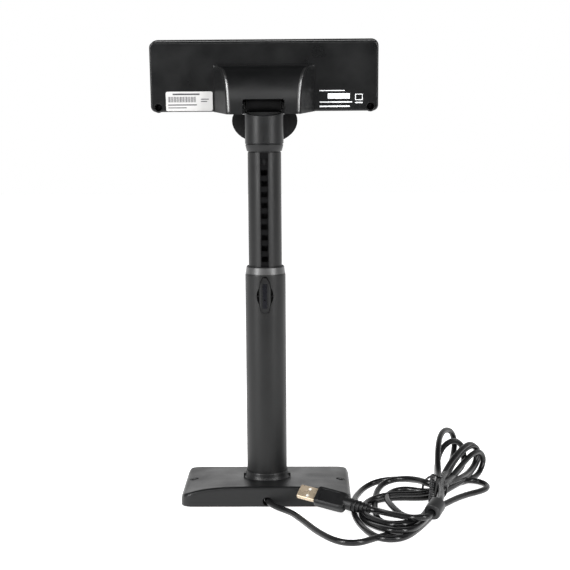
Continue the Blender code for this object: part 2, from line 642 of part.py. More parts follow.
def make_neck(materials, swivel):
    """Neck moulding: a cup that turns on the spindle and carries the tilt barrel."""
    neck = turned("neck", [
        (0.0154, NECK_BOTTOM), (NECK_RADIUS, NECK_BOTTOM + 0.0004), (NECK_RADIUS, 0.346), (0.0154, 0.346),
    ], materials["black_plastic"], segments=64)
    neck.parent = swivel
    neck.location = -swivel.location
    cavity = rod("cut_neck_cup", (0, 0, NECK_BOTTOM + NECK_FLOOR), (0, 0, 0.36), NECK_BORE, None, segments=48)
    combine(neck, cavity)
    reach = 0.03
    rise = reach * math.tan(NECK_RIM_SLOPE)
    low = [(-reach, -reach, NECK_RIM_Z - rise), (reach, -reach, NECK_RIM_Z - rise),
           (reach, reach, NECK_RIM_Z + rise), (-reach, reach, NECK_RIM_Z + rise)]
    combine(neck, ring_solid("cut_neck_rim", [low, [(x, y, 0.36) for x, y, _ in low]], None))
    combine(neck, block("cut_neck_front", (-0.02, -0.02, TILT_Z), (0.02, 0.02, 0.36), None))
    ends = (-BARREL_HALF, 0, TILT_Z), (BARREL_HALF, 0, TILT_Z)
    combine(neck, rod("join_barrel", *ends, BARREL_RADIUS, None, segments=40), "UNION")
    low, high = (-0.0145, -0.0045, NECK_BOTTOM + 0.012), (0.0145, 0.0045, TILT_Z - 0.004)
    combine(neck, block("join_barrel_web", low, high, None), "UNION")
    for side in (-1, 1):
        ends = (side * BARREL_HALF, 0, TILT_Z), (side * 0.02, 0, TILT_Z)
        combine(neck, rod(f"cut_washer_seat_{side}", *ends, WASHER_SEAT, None, segments=32))
        ends = (side * SHIELD_SCREW_X, 0.0125, SHIELD_SCREW_Z), (side * SHIELD_SCREW_X, 0.018, SHIELD_SCREW_Z)
        combine(neck, rod(f"cut_neck_shield_screw_{side}", *ends, 0.0011, None, segments=12))
    spindle_hole = SPINDLE_RADIUS + SPINDLE_PLAY
    combine(neck, rod("cut_neck_spindle", (0, 0, 0.30), (0, 0, 0.318), spindle_hole, None, segments=32))
    pin = TILT_PIN_RADIUS + TILT_PIN_PLAY
    combine(neck, rod("cut_barrel_pin", (-0.02, 0, TILT_Z), (0.02, 0, TILT_Z), pin, None, segments=20))
    combine(neck, block("cut_neck_cable", (-0.0030, 0.0032, 0.3160), (0.0030, 0.0110, 0.36), None))
    return neck


def make_hinge_shield(materials, swivel):
    """Shallow dome on the neck's front that hides the tilt joint from the customer."""
    back = NECK_RADIUS + GAP
    rings = []
    for step in (0.0, 0.22, 0.45, 0.66, 0.84, 0.96):
        scale = math.sqrt(1 - step ** 2)
        ring = []
        for i in range(40):
            angle = 2 * math.pi * i / 40
            z = min(SHIELD_MIDDLE_Z + SHIELD_HALF_HEIGHT * scale * math.sin(angle), SHIELD_TOP)
            ring.append((SHIELD_HALF_WIDTH * scale * math.cos(angle), back + SHIELD_DEPTH * step, z))
        rings.append(ring)
    shield = ring_solid("hinge_shield", rings, materials["dark_plastic"], swivel)
    shield.location = -swivel.location
    for name, side in (("shield_screw_left", -1), ("shield_screw_right", 1)):
        x, z, seat = side * SHIELD_SCREW_X, SHIELD_SCREW_Z, SHIELD_SCREW_SEAT_Y
        combine(shield, rod(f"cut_{name}_hole", (x, 0.010, z), (x, 0.03, z), 0.0012, None, segments=16))
        combine(shield, rod(f"cut_{name}_seat", (x, seat, z), (x, 0.03, z), 0.0022, None, segments=24))
        shank, head, under, top = 0.0009, 0.0019, seat + GAP, seat + 0.0018
        profile = [(shank, 0.0134), (shank, under), (head, under), (head, under + 0.0010), (0.0010, top)]
        screw = turned(name, profile, materials["black_steel"], swivel, "Y", 16, (x, 0, z))
        screw.location = -swivel.location
        slot_low, slot_high = (x - 0.001, top - 0.0007, z - 0.0003), (x + 0.001, top + 0.001, z + 0.0003)
        combine(screw, block(f"cut_{name}_slot", slot_low, slot_high, None))
    return shield


# ---------------------------------------------------------------- head
def hump_section(z, depth_share, grow):
    """Half-trapezoid of the rear hump at one height; grow is negative for the cavity."""
    depth = HUMP_DEPTH * depth_share
    foot = HUMP_FOOT_HALF + grow
    ridge = HUMP_FOOT_HALF - HUMP_NARROWING * depth_share ** 0.6 + grow
    back = HEAD_REAR - depth - grow
    start = HEAD_REAR + (0.001 if grow == 0 else 0.004)
    soft = min(0.0022, 0.45 * depth)
    side = (foot - ridge) * 0.12
    right = [
        (foot, start), (foot, HEAD_REAR), (ridge + side, back + soft),
        (ridge + 0.3 * side, back + 0.3 * soft), (ridge - 0.5 * soft, back),
    ]
    left = [(-x, y) for x, y in reversed(right)]
    return [(x, y, z) for x, y in right + left]


def hump_solid(name, grow, low, high, frame):
    """Loft the hump from the head's bottom up to where it meets the rear face."""
    rings = []
    count = 12
    for i in range(count + 1):
        angle = 0.5 * math.pi * i / count
        z = low + (high - low) * math.sin(angle)
        share = max(math.cos(angle), 0.03)
        rings.append(hump_section(z, share, grow))
    return ring_solid(name, rings, None, frame)


def cup_rings(levels, half_width, low, high, corner, steps=5):
    """Rings along Y for a shell: each level is (y, inset)."""
    rings = []
    for y, inset in levels:
        radius = max(corner - inset, 0.0012)
        outline = rounded_outline(half_width - inset, low + inset, high - inset, radius, steps)
        rings.append([(x, y, z) for x, z in outline])
    return rings


def make_rear_shell(materials, frame):
    """Rear housing with the hinge hump, its notch and two deep screw tubes."""
    step = REAR_STEP
    levels = [
        (HEAD_REAR, step + 0.0012), (HEAD_REAR + 0.0004, step + 0.0004), (HEAD_REAR + 0.0014, step),
        (HEAD_SEAM, step), (HEAD_SEAM, step + HEAD_WALL), (HEAD_REAR + HEAD_WALL, step + HEAD_WALL),
    ]
    rings = cup_rings(levels, HEAD_WIDTH / 2, HEAD_BOTTOM, HEAD_TOP, HEAD_CORNER)
    shell = ring_solid("rear_shell", rings, materials["black_plastic"], frame)
    bottom = HEAD_BOTTOM + step
    combine(shell, hump_solid("join_hump", 0.0, bottom, HUMP_TOP, frame), "UNION")
    combine(shell, hump_solid("cut_hump", -HUMP_WALL, bottom + HEAD_WALL, HUMP_TOP - HUMP_WALL, frame))
    notch = rounded_outline(HUMP_NOTCH_HALF, -0.020, HUMP_NOTCH_TOP, 0.0016, 3)
    combine(shell, slab("cut_hump_notch", notch, -0.030, 0.0205, None, frame, "XZ"))
    for side in (-1, 1):
        x, z = side * BRACKET_SCREW_X, BRACKET_SCREW_Z + HEAD_DROP
        pilot = (x, HEAD_REAR + 0.0005, z), (x, 0.02, z)
        combine(shell, rod(f"cut_bracket_screw_{side}", *pilot, 0.0013, None, frame, 12))
        x, z = side * HEAD_SCREW_X, HEAD_SCREW_Z
        tube = (x, HEAD_REAR + 0.001, z), (x, HEAD_SEAM - 0.001, z)
        combine(shell, rod(f"join_screw_tube_{side}", *tube, SCREW_TUBE_RADIUS, None, frame, 24), "UNION")
        well = (x, 0, z), (x, HEAD_REAR + 0.010, z)
        combine(shell, rod(f"cut_screw_well_{side}", *well, SCREW_WELL_RADIUS, None, frame, 24))
        combine(shell, rod(f"cut_screw_hole_{side}", (x, 0, z), (x, 0.03, z), 0.0015, None, frame, 12))
    return shell


def board_screw_places():
    """Corner screws of the display board."""
    heights = (DISPLAY_MIDDLE - BOARD_SCREW_Z, DISPLAY_MIDDLE + BOARD_SCREW_Z)
    return [(x, z) for x in (-POST_X, POST_X) for z in heights]


def centred_outline(half_size, corner):
    """Rounded rectangle about the display's middle."""
    half_width, half_height = half_size
    return rounded_outline(half_width, DISPLAY_MIDDLE - half_height, DISPLAY_MIDDLE + half_height, corner, 3)


def centred_block(name, half_size, back, front, material, frame):
    """Box about the display's middle between two depths."""
    half_width, half_height = half_size
    low = (-half_width, back, DISPLAY_MIDDLE - half_height)
    high = (half_width, front, DISPLAY_MIDDLE + half_height)
    return block(name, low, high, material, frame)


def make_front_bezel(materials, frame):
    """Front frame with the viewing aperture and the posts that the screws bite into."""
    inner = HEAD_WALL
    levels = [
        (HEAD_FRONT, 0.0014), (HEAD_FRONT - 0.0005, 0.0004), (HEAD_FRONT - 0.0016, 0.0),
        (HEAD_SEAM + GAP, 0.0), (HEAD_SEAM + GAP, inner), (HEAD_FRONT - inner, inner),
    ]
    rings = cup_rings(levels, HEAD_WIDTH / 2, HEAD_BOTTOM, HEAD_TOP, HEAD_CORNER)
    bezel = ring_solid("front_bezel", rings, materials["black_plastic"], frame)
    aperture = centred_outline(APERTURE, 0.003)
    combine(bezel, slab("cut_aperture", aperture, 0.030, 0.040, None, frame, "XZ"))
    floor = HEAD_FRONT - inner + 0.0005
    for i, (x, z) in enumerate(board_screw_places()):
        post = (x, 0.0252, z), (x, floor, z)
        combine(bezel, rod(f"join_post_{i}", *post, POST_RADIUS, None, frame, 16), "UNION")
        combine(bezel, rod(f"cut_post_{i}", (x, 0.02, z), (x, 0.0330, z), POST_BORE, None, frame, 12))
    for side in (-1, 1):
        x, z = side * HEAD_SCREW_X, HEAD_SCREW_Z
        corner = (x, HEAD_SEAM + GAP, z), (x, floor, z)
        combine(bezel, rod(f"join_corner_{side}", *corner, POST_RADIUS + 0.001, None, frame, 16), "UNION")
        combine(bezel, rod(f"cut_corner_{side}", (x, 0.02, z), (x, 0.0330, z), 0.0013, None, frame, 12))
    return bezel


def make_head_screws(materials, frame):
    """Long screws at the bottom of the two deep tubes, and small ones on the display board."""
    for name, side in (("head_screw_left", -1), ("head_screw_right", 1)):
        x, z = side * HEAD_SCREW_X, HEAD_SCREW_Z
        profile = [(0.0012, 0.0166), (0.0026, 0.0170), (0.0026, 0.0186), (0.0010, 0.0187), (0.0010, 0.0310)]
        screw = turned(name, profile, materials["black_steel"], frame, "Y", 12, (x, 0, z))
        slot_low, slot_high = (x - 0.0013, 0.0160, z - 0.0003), (x + 0.0013, 0.0174, z + 0.0003)
        combine(screw, block(f"cut_{name}", slot_low, slot_high, None, frame))
    for i, (x, z) in enumerate(board_screw_places()):
        profile = [(0.0020, 0.0215), (0.0020, 0.0227), (0.0009, 0.0228), (0.0009, 0.0310)]
        turned(f"board_screw_{i + 1}", profile, materials["steel"], frame, "Y", 10, (x, 0, z))


def make_display(materials, frame):
    """Window, display stack and boards inside the head."""
    window = centred_outline(WINDOW, 0.003)
    slab("display_window", window, 0.0324, 0.0344, materials["smoked"], frame, "XZ")
    centred_block("lcd_glass", LCD, 0.0288, 0.0310, materials["lcd"], frame)
    centred_block("lcd_backlight", LCD, 0.0252, 0.0285, materials["light_guide"], frame)
    lcd_frame = centred_block("lcd_frame", LCD_FRAME, 0.0250, 0.0320, materials["black_steel"], frame)
    pocket = (LCD[0] + GAP, LCD[1] + GAP)
    combine(lcd_frame, centred_block("cut_lcd_body", pocket, 0.0240, 0.0313, None, frame))
    combine(lcd_frame, centred_block("cut_lcd_view", LCD_VIEW, 0.0300, 0.0330, None, frame))
    board = centred_block("display_board", BOARD, 0.0231, 0.0247, materials["board"], frame)
    for i, (x, z) in enumerate(board_screw_places()):
        combine(board, rod(f"cut_board_{i}", (x, 0.02, z), (x, 0.03, z), POST_BORE, None, frame, 12))
    block("controller_board", (-0.0400, 0.0180, 0.0210), (0.0400, 0.0196, 0.0550), materials["board"], frame)
    block("controller_chip", (-0.0070, 0.0160, 0.0390), (0.0070, 0.0177, 0.0530), materials["chip"], frame)
    block("board_header", (-0.0200, 0.0199, 0.0430), (0.0200, 0.0228, 0.0480), materials["chip"], frame)
    connector_low, connector_high = (0.0240, 0.0130, 0.0420), (0.0360, 0.0177, 0.0490)
    block("cord_connector", connector_low, connector_high, materials["white_plastic"], frame)


def make_tilt_parts(materials, frame):
    """Bracket, friction washers, pin and nut of the tilt joint."""
    pin_hole = TILT_PIN_RADIUS + TILT_PIN_PLAY
    outer = EAR_INNER + EAR_THICKNESS
    back = BRACKET_BACK
    low, high = (-outer, back, BRACKET_SPAN[0]), (outer, back + BRACKET_THICKNESS, BRACKET_SPAN[1])
    bracket = block("tilt_bracket", low, high, materials["steel"], frame)
    for side in (-1, 1):
        outline = [(-0.0046, -0.0044), (-0.0052, 0.0030), (-0.0020, 0.0070), (back + 0.0005, 0.0300),
                   (back + 0.0005, 0.0135), (0.0060, -0.0030), (0.0046, -0.0044)]
        low, high = sorted((side * EAR_INNER, side * outer))
        combine(bracket, slab(f"join_ear_{side}", outline, low, high, None, frame, "YZ"), "UNION")
    for name, side in (("bracket_screw_left", -1), ("bracket_screw_right", 1)):
        x, z = side * BRACKET_SCREW_X, BRACKET_SCREW_Z
        combine(bracket, rod(f"cut_{name}", (x, 0.010, z), (x, 0.015, z), 0.0013, None, frame, 12))
        profile = [(0.0010, 0.0100), (0.0010, 0.0137), (0.0020, 0.0138), (0.0020, 0.0150)]
        turned(name, profile, materials["steel"], frame, "Y", 12, (x, 0, z))
    combine(bracket, rod("cut_ears", (-0.03, 0, 0), (0.03, 0, 0), pin_hole, None, frame, 20))
    for name, side in (("friction_washer_left", -1), ("friction_washer_right", 1)):
        low, high = sorted((side * (BARREL_HALF + GAP), side * (EAR_INNER - 0.0005)))
        washer = pipe_profile(pin_hole, WASHER_RADIUS, low, high)
        turned(name, washer, materials["dark_plastic"], frame, "X", 32)
    head = outer + GAP
    radius = TILT_PIN_RADIUS
    pin = [(0.0040, -head - 0.0022), (0.0040, -head), (radius, -head), (radius, head + 0.0040)]
    turned("tilt_pin", pin, materials["steel"], frame, "X", 20)
    nut = rod("tilt_nut", (head, 0, 0), (head + 0.0030, 0, 0), NUT_RADIUS, materials["steel"], frame, 6)
    combine(nut, rod("cut_nut", (head - 0.001, 0, 0), (head + 0.005, 0, 0), pin_hole, None, frame, 20))


def make_label(materials, frame):
    """Blank rating sticker on the rear shell."""
    outline = [(x + LABEL_X, z) for x, z in rounded_outline(LABEL_HALF, *LABEL_SPAN, 0.0016, 4)]
    slab("rating_label", outline, HEAD_REAR - 0.0004, HEAD_REAR - 0.00015, materials["label"], frame, "XZ")


# ---------------------------------------------------------------- cord
def smooth_points(route, count):
    """Evenly stepped points on a Catmull-Rom curve through a route."""
    points = [Vector(p) for p in route]
    padded = [2 * points[0] - points[1]] + points + [2 * points[-1] - points[-2]]
    fine = []
    for a, b, c, d in zip(padded, padded[1:], padded[2:], padded[3:]):
        for i in range(24):
            t = i / 24
            fine.append(0.5 * (2 * b + (c - a) * t + (2 * a - 5 * b + 4 * c - d) * t * t
                               + (3 * b - a - 3 * c + d) * t ** 3))
    fine.append(points[-1])
    lengths = [0.0]
    for p, q in zip(fine, fine[1:]):
        lengths.append(lengths[-1] + (q - p).length)
    result, k = [], 0
    for i in range(count):
        target = lengths[-1] * i / (count - 1)
        while k < len(fine) - 2 and lengths[k + 1] < target:
            k += 1
        share = (target - lengths[k]) / (lengths[k + 1] - lengths[k])
        result.append(fine[k].lerp(fine[k + 1], min(max(share, 0.0), 1.0)))
    return result


def cord_tube(name, route, count, material, radius=CORD_RADIUS):
    """A capped round tube along a route."""
    curve = bpy.data.curves.new(name, "CURVE")
    curve.dimensions = "3D"
    curve.bevel_depth = radius
    curve.bevel_resolution = 2
    curve.use_fill_caps = True
    spline = curve.splines.new("POLY")
    points = smooth_points(route, count)
    spline.points.add(len(points) - 1)
    for target, point in zip(spline.points, points):
        target.co = (*point, 1.0)
    curve.materials.append(material)
    item = bpy.data.objects.new(name, curve)
    bpy.context.scene.collection.objects.link(item)
    return item


def oriented_block(name, centre, size, material, edge=0.0):
    """A box in the plug's frame: size is (along, across, thick)."""
    along = PLUG_ALONG
    across = PLUG_FACE.cross(along).normalized()
    face = along.cross(across)
    mesh_data = bmesh.new()
    bmesh.ops.create_cube(mesh_data, size=1.0)
    for vert in mesh_data.verts:
        offset = along * vert.co.x * size[0] + across * vert.co.y * size[1] + face * vert.co.z * size[2]
        vert.co = centre + offset
    if edge:
        bmesh.ops.bevel(mesh_data, geom=list(mesh_data.edges), offset=edge, segments=2, affect="EDGES")
    return finish(name, mesh_data, material)


def make_plug(materials):
    """USB-A plug leaning on the base's rear edge: metal shell, tongue, overmould and neck."""
    front = PLUG_TIP + PLUG_ALONG * (PLUG_SHELL[0] + GAP)
    shell_centre = PLUG_TIP + PLUG_ALONG * PLUG_SHELL[0] / 2
    shell = oriented_block("plug_shell", shell_centre, PLUG_SHELL, materials["plug_metal"], 0.0003)
    cavity = (PLUG_SHELL[0], PLUG_SHELL[1] - 0.0006, PLUG_SHELL[2] - 0.0006)
    combine(shell, oriented_block("cut_plug_shell", shell_centre - PLUG_ALONG * 0.0008, cavity, None))
    across = PLUG_FACE.cross(PLUG_ALONG).normalized()
    for side in (-1, 1):
        place = shell_centre + PLUG_ALONG * 0.0010 + across * side * 0.0032 + PLUG_FACE * 0.0022
        combine(shell, oriented_block(f"cut_plug_window_{side}", place, (0.0025, 0.0025, 0.0012), None))
    tongue = (PLUG_SHELL[0] - 0.0030, 0.0108, 0.0016)
    oriented_block("plug_tongue", shell_centre - PLUG_FACE * 0.0009, tongue, materials["white_plastic"])
    body_centre = front + PLUG_ALONG * (PLUG_BODY[0] / 2)
    body = oriented_block("plug_body", body_centre, PLUG_BODY, materials["cord"], 0.0010)
    neck_start = front + PLUG_ALONG * (PLUG_BODY[0] - 0.002)
    neck_end = front + PLUG_ALONG * (PLUG_BODY[0] + PLUG_NECK)
    neck = rod("join_plug_neck", neck_start, neck_end, PLUG_NECK_RADIUS, None, segments=16)
    combine(body, neck, "UNION")
    return neck_end


def make_coil(materials):
    """Closed outer shapes of the tied coil: its flat band and the lobes that fan out behind."""
    count = 44
    band = closed_points(COIL_BAND, count)
    rings = []
    for i in range(count):
        x, y, half_width, low, high = band[i]
        after, before = band[(i + 1) % count], band[i - 1]
        side = Vector((after[1] - before[1], before[0] - after[0], 0.0)).normalized()
        ring = []
        for k in range(12):
            angle = 2 * math.pi * k / 12
            lift = max(low, 0.0) + (high - low) / 2 * (1 + math.sin(angle))
            ring.append(Vector((x, y, lift)) + side * half_width * math.cos(angle))
        rings.append(ring)
    ring_solid("cord_loops", rings, materials["cord"], joined=True)
    side = Vector((LOBE_ALONG.y, -LOBE_ALONG.x, 0.0))
    rings = []
    for distance, half_width, low, high in LOBE_SECTIONS:
        ring = []
        for k in range(14):
            angle = 2 * math.pi * k / 14
            lift = (low + high) / 2 + (high - low) / 2 * math.sin(angle)
            centre = LOBE_START + LOBE_ALONG * distance + Vector((0, 0, lift))
            ring.append(centre + side * half_width * math.cos(angle))
        rings.append(ring)
    ring_solid("cord_lobes", rings, materials["cord"])


def closed_points(points, count):
    """Evenly numbered points on a closed Catmull-Rom curve of any dimension."""
    result = []
    total = len(points)
    for i in range(count):
        place = total * i / count
        k, t = int(place), place - int(place)
        a, b, c, d = (points[(k + j) % total] for j in (-1, 0, 1, 2))
        result.append([
            0.5 * (2 * q + (r - p) * t + (2 * p - 5 * q + 4 * r - v) * t * t
                   + (3 * q - p - 3 * r + v) * t ** 3)
            for p, q, r, v in zip(a, b, c, d)
        ])
    return result


def make_tie(materials):
    """Wire tie bent around the coil where its strands are gathered."""
    rings = []
    for i in range(28):
        angle = 2 * math.pi * i / 28
        outward = Vector((math.cos(angle), 0.0, math.sin(angle)))
        lift = max(TIE_CENTRE.z + TIE_RADIUS * outward.z, 0.0007)
        centre = Vector((TIE_CENTRE.x + 0.86 * TIE_RADIUS * outward.x, TIE_CENTRE.y, lift))
        ring = []
        for k in range(8):
            turn = 2 * math.pi * k / 8
            ring.append(centre + 0.0006 * math.cos(turn) * outward + Vector((0, 0.0012 * math.sin(turn), 0)))
        rings.append(ring)
    ring_solid("twist_tie", rings, materials["tie"], joined=True)


def make_cord(materials):
    """Lead, tied coil, ferrite bead, tail and plug, all lying on the ground."""
    cord_tube("cord_lead", CORD_LEAD_ROUTE, 26, materials["cord"])
    start = make_plug(materials) + PLUG_ALONG * GAP
    ferrite_high = FERRITE_LOW + FERRITE_ALONG * FERRITE_LENGTH
    rod("ferrite_bead", FERRITE_LOW, ferrite_high, FERRITE_RADIUS, materials["dark_plastic"], segments=24)
    first = start + PLUG_ALONG * 0.006 + Vector((0, 0, 0.0006))
    straight = FERRITE_ALONG * 0.006
    clear = FERRITE_ALONG * 2 * GAP
    mouth = FERRITE_LOW - FERRITE_ALONG * 0.004
    tail = (start, first, *CORD_TAIL_ROUTE, mouth, FERRITE_LOW - clear)
    cord_tube("cord_tail", tail, 14, materials["cord"])
    link = (ferrite_high + clear, ferrite_high + straight, *CORD_LINK_ROUTE)
    cord_tube("cord_link", link, 9, materials["cord"])
    make_coil(materials)
    make_tie(materials)


def main():
    clear_scene()
    materials = make_materials()
    mast = holder("mast_slide_axis", (0, 0, 0))
    swivel = holder("head_swivel_axis", (0, 0, NECK_BOTTOM))
    tilt = holder("head_tilt_axis", (0, 0, TILT_Z), (TILT_REST, 0, 0))
    head = holder("head_frame", (0, 0, -HEAD_DROP), parent=tilt)
    latch = holder("latch_press_axis", LATCH_PIVOT)
    make_base_cover(materials)
    make_weight_plate(materials)
    make_pads(materials)
    make_base_screws(materials)
    make_pole_foot(materials)
    make_foot_collar(materials)
    make_lower_tube(materials)
    make_guide_bush(materials)
    make_latch(materials, latch)
    make_upper_tube(materials, mast)
    make_swivel(materials, mast)
    make_neck(materials, swivel)
    make_hinge_shield(materials, swivel)
    make_rear_shell(materials, head)
    make_front_bezel(materials, head)
    make_head_screws(materials, head)
    make_display(materials, head)
    make_tilt_parts(materials, tilt)
    make_label(materials, head)
    make_cord(materials)


main()
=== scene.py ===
"""Looks of the customer pole display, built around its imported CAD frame.

Metres, +Z up.  The screen faces +Y, the cord leaves the base towards -Y.  Functions build the pieces and
settle() hands each to its body, slot and finish; the calls at the end run them in order.
"""
import json
import math

import bmesh
import bpy
from mathutils import Matrix, Vector


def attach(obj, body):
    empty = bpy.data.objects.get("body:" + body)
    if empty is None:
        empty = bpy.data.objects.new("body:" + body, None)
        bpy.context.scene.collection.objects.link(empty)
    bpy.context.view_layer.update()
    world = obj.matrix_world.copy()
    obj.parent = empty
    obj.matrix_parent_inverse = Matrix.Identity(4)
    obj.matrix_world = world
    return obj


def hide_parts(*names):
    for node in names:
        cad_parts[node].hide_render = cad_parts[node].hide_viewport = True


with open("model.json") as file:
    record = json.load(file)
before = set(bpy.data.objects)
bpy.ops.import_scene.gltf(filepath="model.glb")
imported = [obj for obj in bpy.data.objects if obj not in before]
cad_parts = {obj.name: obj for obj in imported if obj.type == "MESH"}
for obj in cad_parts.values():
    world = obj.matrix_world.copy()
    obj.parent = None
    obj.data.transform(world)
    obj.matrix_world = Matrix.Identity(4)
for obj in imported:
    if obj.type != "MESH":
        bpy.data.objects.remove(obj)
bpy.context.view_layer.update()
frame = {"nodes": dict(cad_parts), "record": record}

GAP = 0.0003

# ---- camera and light
CAMERA_PLACE = (0.035, -1.095, 0.323)
CAMERA_PITCH = math.radians(90 - 7.05)
CAMERA_YAW = math.radians(0.937)
CAMERA_ROLL = math.radians(-0.4)
LENS = 79.3
ROOM_BEHIND = 0.12
ROOM_BEYOND = 1.25
ROOM_ABOVE = 0.15
ROOM_DEPTH_SPAN = (-0.2, 0.8)
ROOM_HEIGHT_SPAN = (0.15, 0.9)
FLOOR_GLOW = 0.85
FLOOR_SIZE = 3.0
FLOOR_NEAR = 0.75
FLOOR_Z = -0.00005
# name: place, target, size, watts
SOFT_BOXES = {
    "rear_box": ((0.0, -1.35, 0.88), (0, 0, 0.33), (1.3, 0.35), 6),
    "left_strip": ((-1.05, -0.95, 0.75), (0, 0, 0.22), (0.3, 1.3), 24),
    "right_strip": ((1.05, -0.95, 0.75), (0, 0, 0.22), (0.3, 1.3), 18),
}

# ---- base and pole
BASE_WIDTH = 0.147
BASE_DEPTH = 0.092
BASE_CORNER = 0.01
BASE_FLOOR = 0.001
BASE_FRONT_HEIGHT = 0.012
BASE_REAR_HEIGHT = 0.0185
BASE_SHOULDER_DROP = 0.0085
BASE_WALL = 0.0024
BASE_EDGE = 0.003
BASE_SCREW_X = 0.0655
END_STEPS = [0, 0.0002, 0.0005, 0.0009, 0.0014, 0.002, 0.0027, 0.0035, 0.0045, 0.0056, 0.0068, 0.0082, 0.01]
RECESS_FLOOR = 0.0108
MOUTH_X = 0.0012
MOUTH_HALF = 0.004
MOUTH_TOP = 0.0092
MOUTH_SILL = 0.0019
GROMMET_PLACE = (-0.0434, 0.006)
GROMMET_RADIUS = 0.0046
GROMMET_DEPTH = 0.0016
LOWER_RADIUS = 0.0177
LOWER_BORE = 0.0156
LOWER_BOTTOM = 0.0048
LOWER_TOP = 0.205
RIM_NARROWING = 0.0012
RIM_PROUD = 0.00015
RIM_THICKNESS = 0.0004
UPPER_RADIUS = 0.01455
UPPER_BORE = 0.0123
UPPER_BOTTOM = 0.11
UPPER_TOP = 0.304
GROOVE_HALF = 0.0034
GROOVE_DEPTH = 0.0012
LINER_THICKNESS = 0.0004
NOTCH_PITCH = 0.00932
NOTCH_HEIGHT = 0.0047
NOTCH_TOP_Z = 0.2956
NOTCH_COUNT = 18
LATCH_PIVOT = Vector((0.0, -0.01515, 0.1798))
CRESCENT = (0.0073, 0.01)
LATCH_OUTER = -0.0198
LATCH_INNER = -0.0169
LATCH_FLANK = -0.0176
LATCH_HALF = 0.005
LATCH_FLAT_HALF = 0.0026
LATCH_NOTCH = 11

# ---- neck and head
RING_BOTTOM = 0.3047
RING_TOP = 0.3106
NECK_RADIUS = 0.0167
NECK_BORE = 0.0143
NECK_BOTTOM = RING_TOP + GAP
NECK_FLOOR = 0.0026
NECK_RIM_Z = 0.3388
NECK_RIM_SLOPE = math.radians(14.5)
TILT_Z = 0.346
TILT_REST = math.radians(6.0)
HEAD_DROP = 0.006
HEAD_WIDTH = 0.2
HEAD_BOTTOM = -0.003
HEAD_TOP = 0.059
HEAD_CORNER = 0.0058
HEAD_REAR = 0.009
HEAD_SEAM = 0.025
HEAD_FRONT = 0.037
HEAD_WALL = 0.0022
REAR_STEP = 0.0008
HUMP_TOP = 0.038
HUMP_DEPTH = 0.025
HUMP_FOOT_HALF = 0.044
HUMP_NARROWING = 0.0125
HUMP_WALL = 0.0024
HUMP_LEVELS = 30
EDGE_PROUD = 0.00008
EDGE_LAST = 27
EDGE_POINTS = (10, 15)
NOTCH_HALF = 0.0179
NOTCH_TOP = 0.0106
CHEEK_INNER = 0.016
CHEEK_SPAN = ((-0.0156, 0.0002), (-0.0116, 0.0046))
HEAD_SCREW_X = 0.0924
HEAD_SCREW_Z = 0.0017
DISPLAY_MIDDLE = (HEAD_BOTTOM + HEAD_TOP) / 2
CELL_COLUMNS = 20
CELL_PITCH = 0.0071
CELL_ROW = 0.0055
CELL_HALF = (0.0027, 0.0042)
CELL_DEPTHS = (0.03105, 0.03115)
LABEL_X = -0.0653
LABEL_HALF = 0.0204
LABEL_LOW = -0.0012
LABEL_HIGH = 0.0156

# ---- cord
CORD_DIAMETER = 0.0052
CORD_STEP = 0.0016
SMOOTHING = 10
TIE_CENTRE = Vector((0.147, -0.028, 0.0118))
TIE_RADIUS = 0.0113
TIE_NARROWING = 0.93
TIE_WIRE = 0.001
TIE_TWISTS = 6
TIE_SAG = 0.0016
TIE_ENDS = (Vector((0.1448, -0.029, 0.0234)), Vector((0.1383, -0.08, 0.0158)))
FERRITE_LOW = Vector((0.1365, -0.1072, 0.0144))
FERRITE_ALONG = Vector((0.42, 0.87, 0.24)).normalized()
FERRITE_LENGTH = 0.0145
FERRITE_RADIUS = 0.0069
PLUG_TIP = Vector((0.0291, -0.0531, 0.0168))
PLUG_ALONG = Vector((0.91, -0.39, -0.132)).normalized()
PLUG_FACE = Vector((-0.15, -0.63, 0.76)).normalized()
PLUG_SHELL = (0.016, 0.012, 0.0045)
PLUG_BODY = (0.027, 0.0172, 0.0098)
PLUG_NECK = 0.022
PLUG_RIBS = 4

# Route of the cord: lead, then lobes and turns in the order that the cord runs.
LEAD = (
    (0.0012, -0.03, 0.007), (0.0012, -0.04, 0.0064), (0.003, -0.049, 0.0052), (0.01, -0.056, 0.0036),
    (0.0205, -0.066, 0.0026), (0.031, -0.088, 0.0025), (0.044, -0.119, 0.0024), (0.058, -0.141, 0.0024),
    (0.068, -0.147, 0.0024), (0.078, -0.145, 0.0024), (0.088, -0.136, 0.0025), (0.099, -0.128, 0.0026),
    (0.111, -0.121, 0.0026), (0.121, -0.108, 0.0026), (0.1295, -0.09, 0.0026),
)
LOBE_6 = (
    (0.138, -0.072, 0.0027), (0.148, -0.054, 0.0028), (0.158, -0.04, 0.003), (0.167, -0.028, 0.003),
    (0.178, -0.016, 0.0028), (0.189, -0.007, 0.0027), (0.1965, 0.002, 0.0027), (0.198, 0.013, 0.0028),
    (0.191, 0.0225, 0.0036), (0.18, 0.02, 0.005), (0.169, 0.008, 0.0068), (0.162, -0.003, 0.009),
)
TURN_A = (
    (0.159, -0.013, 0.0112), (0.157, -0.024, 0.0132), (0.15, -0.033, 0.0152), (0.1415, -0.032, 0.0164),
    (0.1355, -0.022, 0.0164), (0.128, -0.0115, 0.0148), (0.117, -0.0015, 0.0124), (0.107, 0.005, 0.01),
    (0.097, 0.006, 0.0076), (0.088, -0.001, 0.0052), (0.0805, -0.017, 0.0034), (0.076, -0.038, 0.0027),
    (0.075, -0.062, 0.0027), (0.076, -0.084, 0.0027), (0.0795, -0.104, 0.0027), (0.086, -0.124, 0.0027),
    (0.095, -0.137, 0.0027), (0.106, -0.138, 0.0027), (0.1155, -0.1295, 0.0027), (0.124, -0.1145, 0.0028),
    (0.1325, -0.097, 0.0034), (0.1415, -0.076, 0.0046),
)
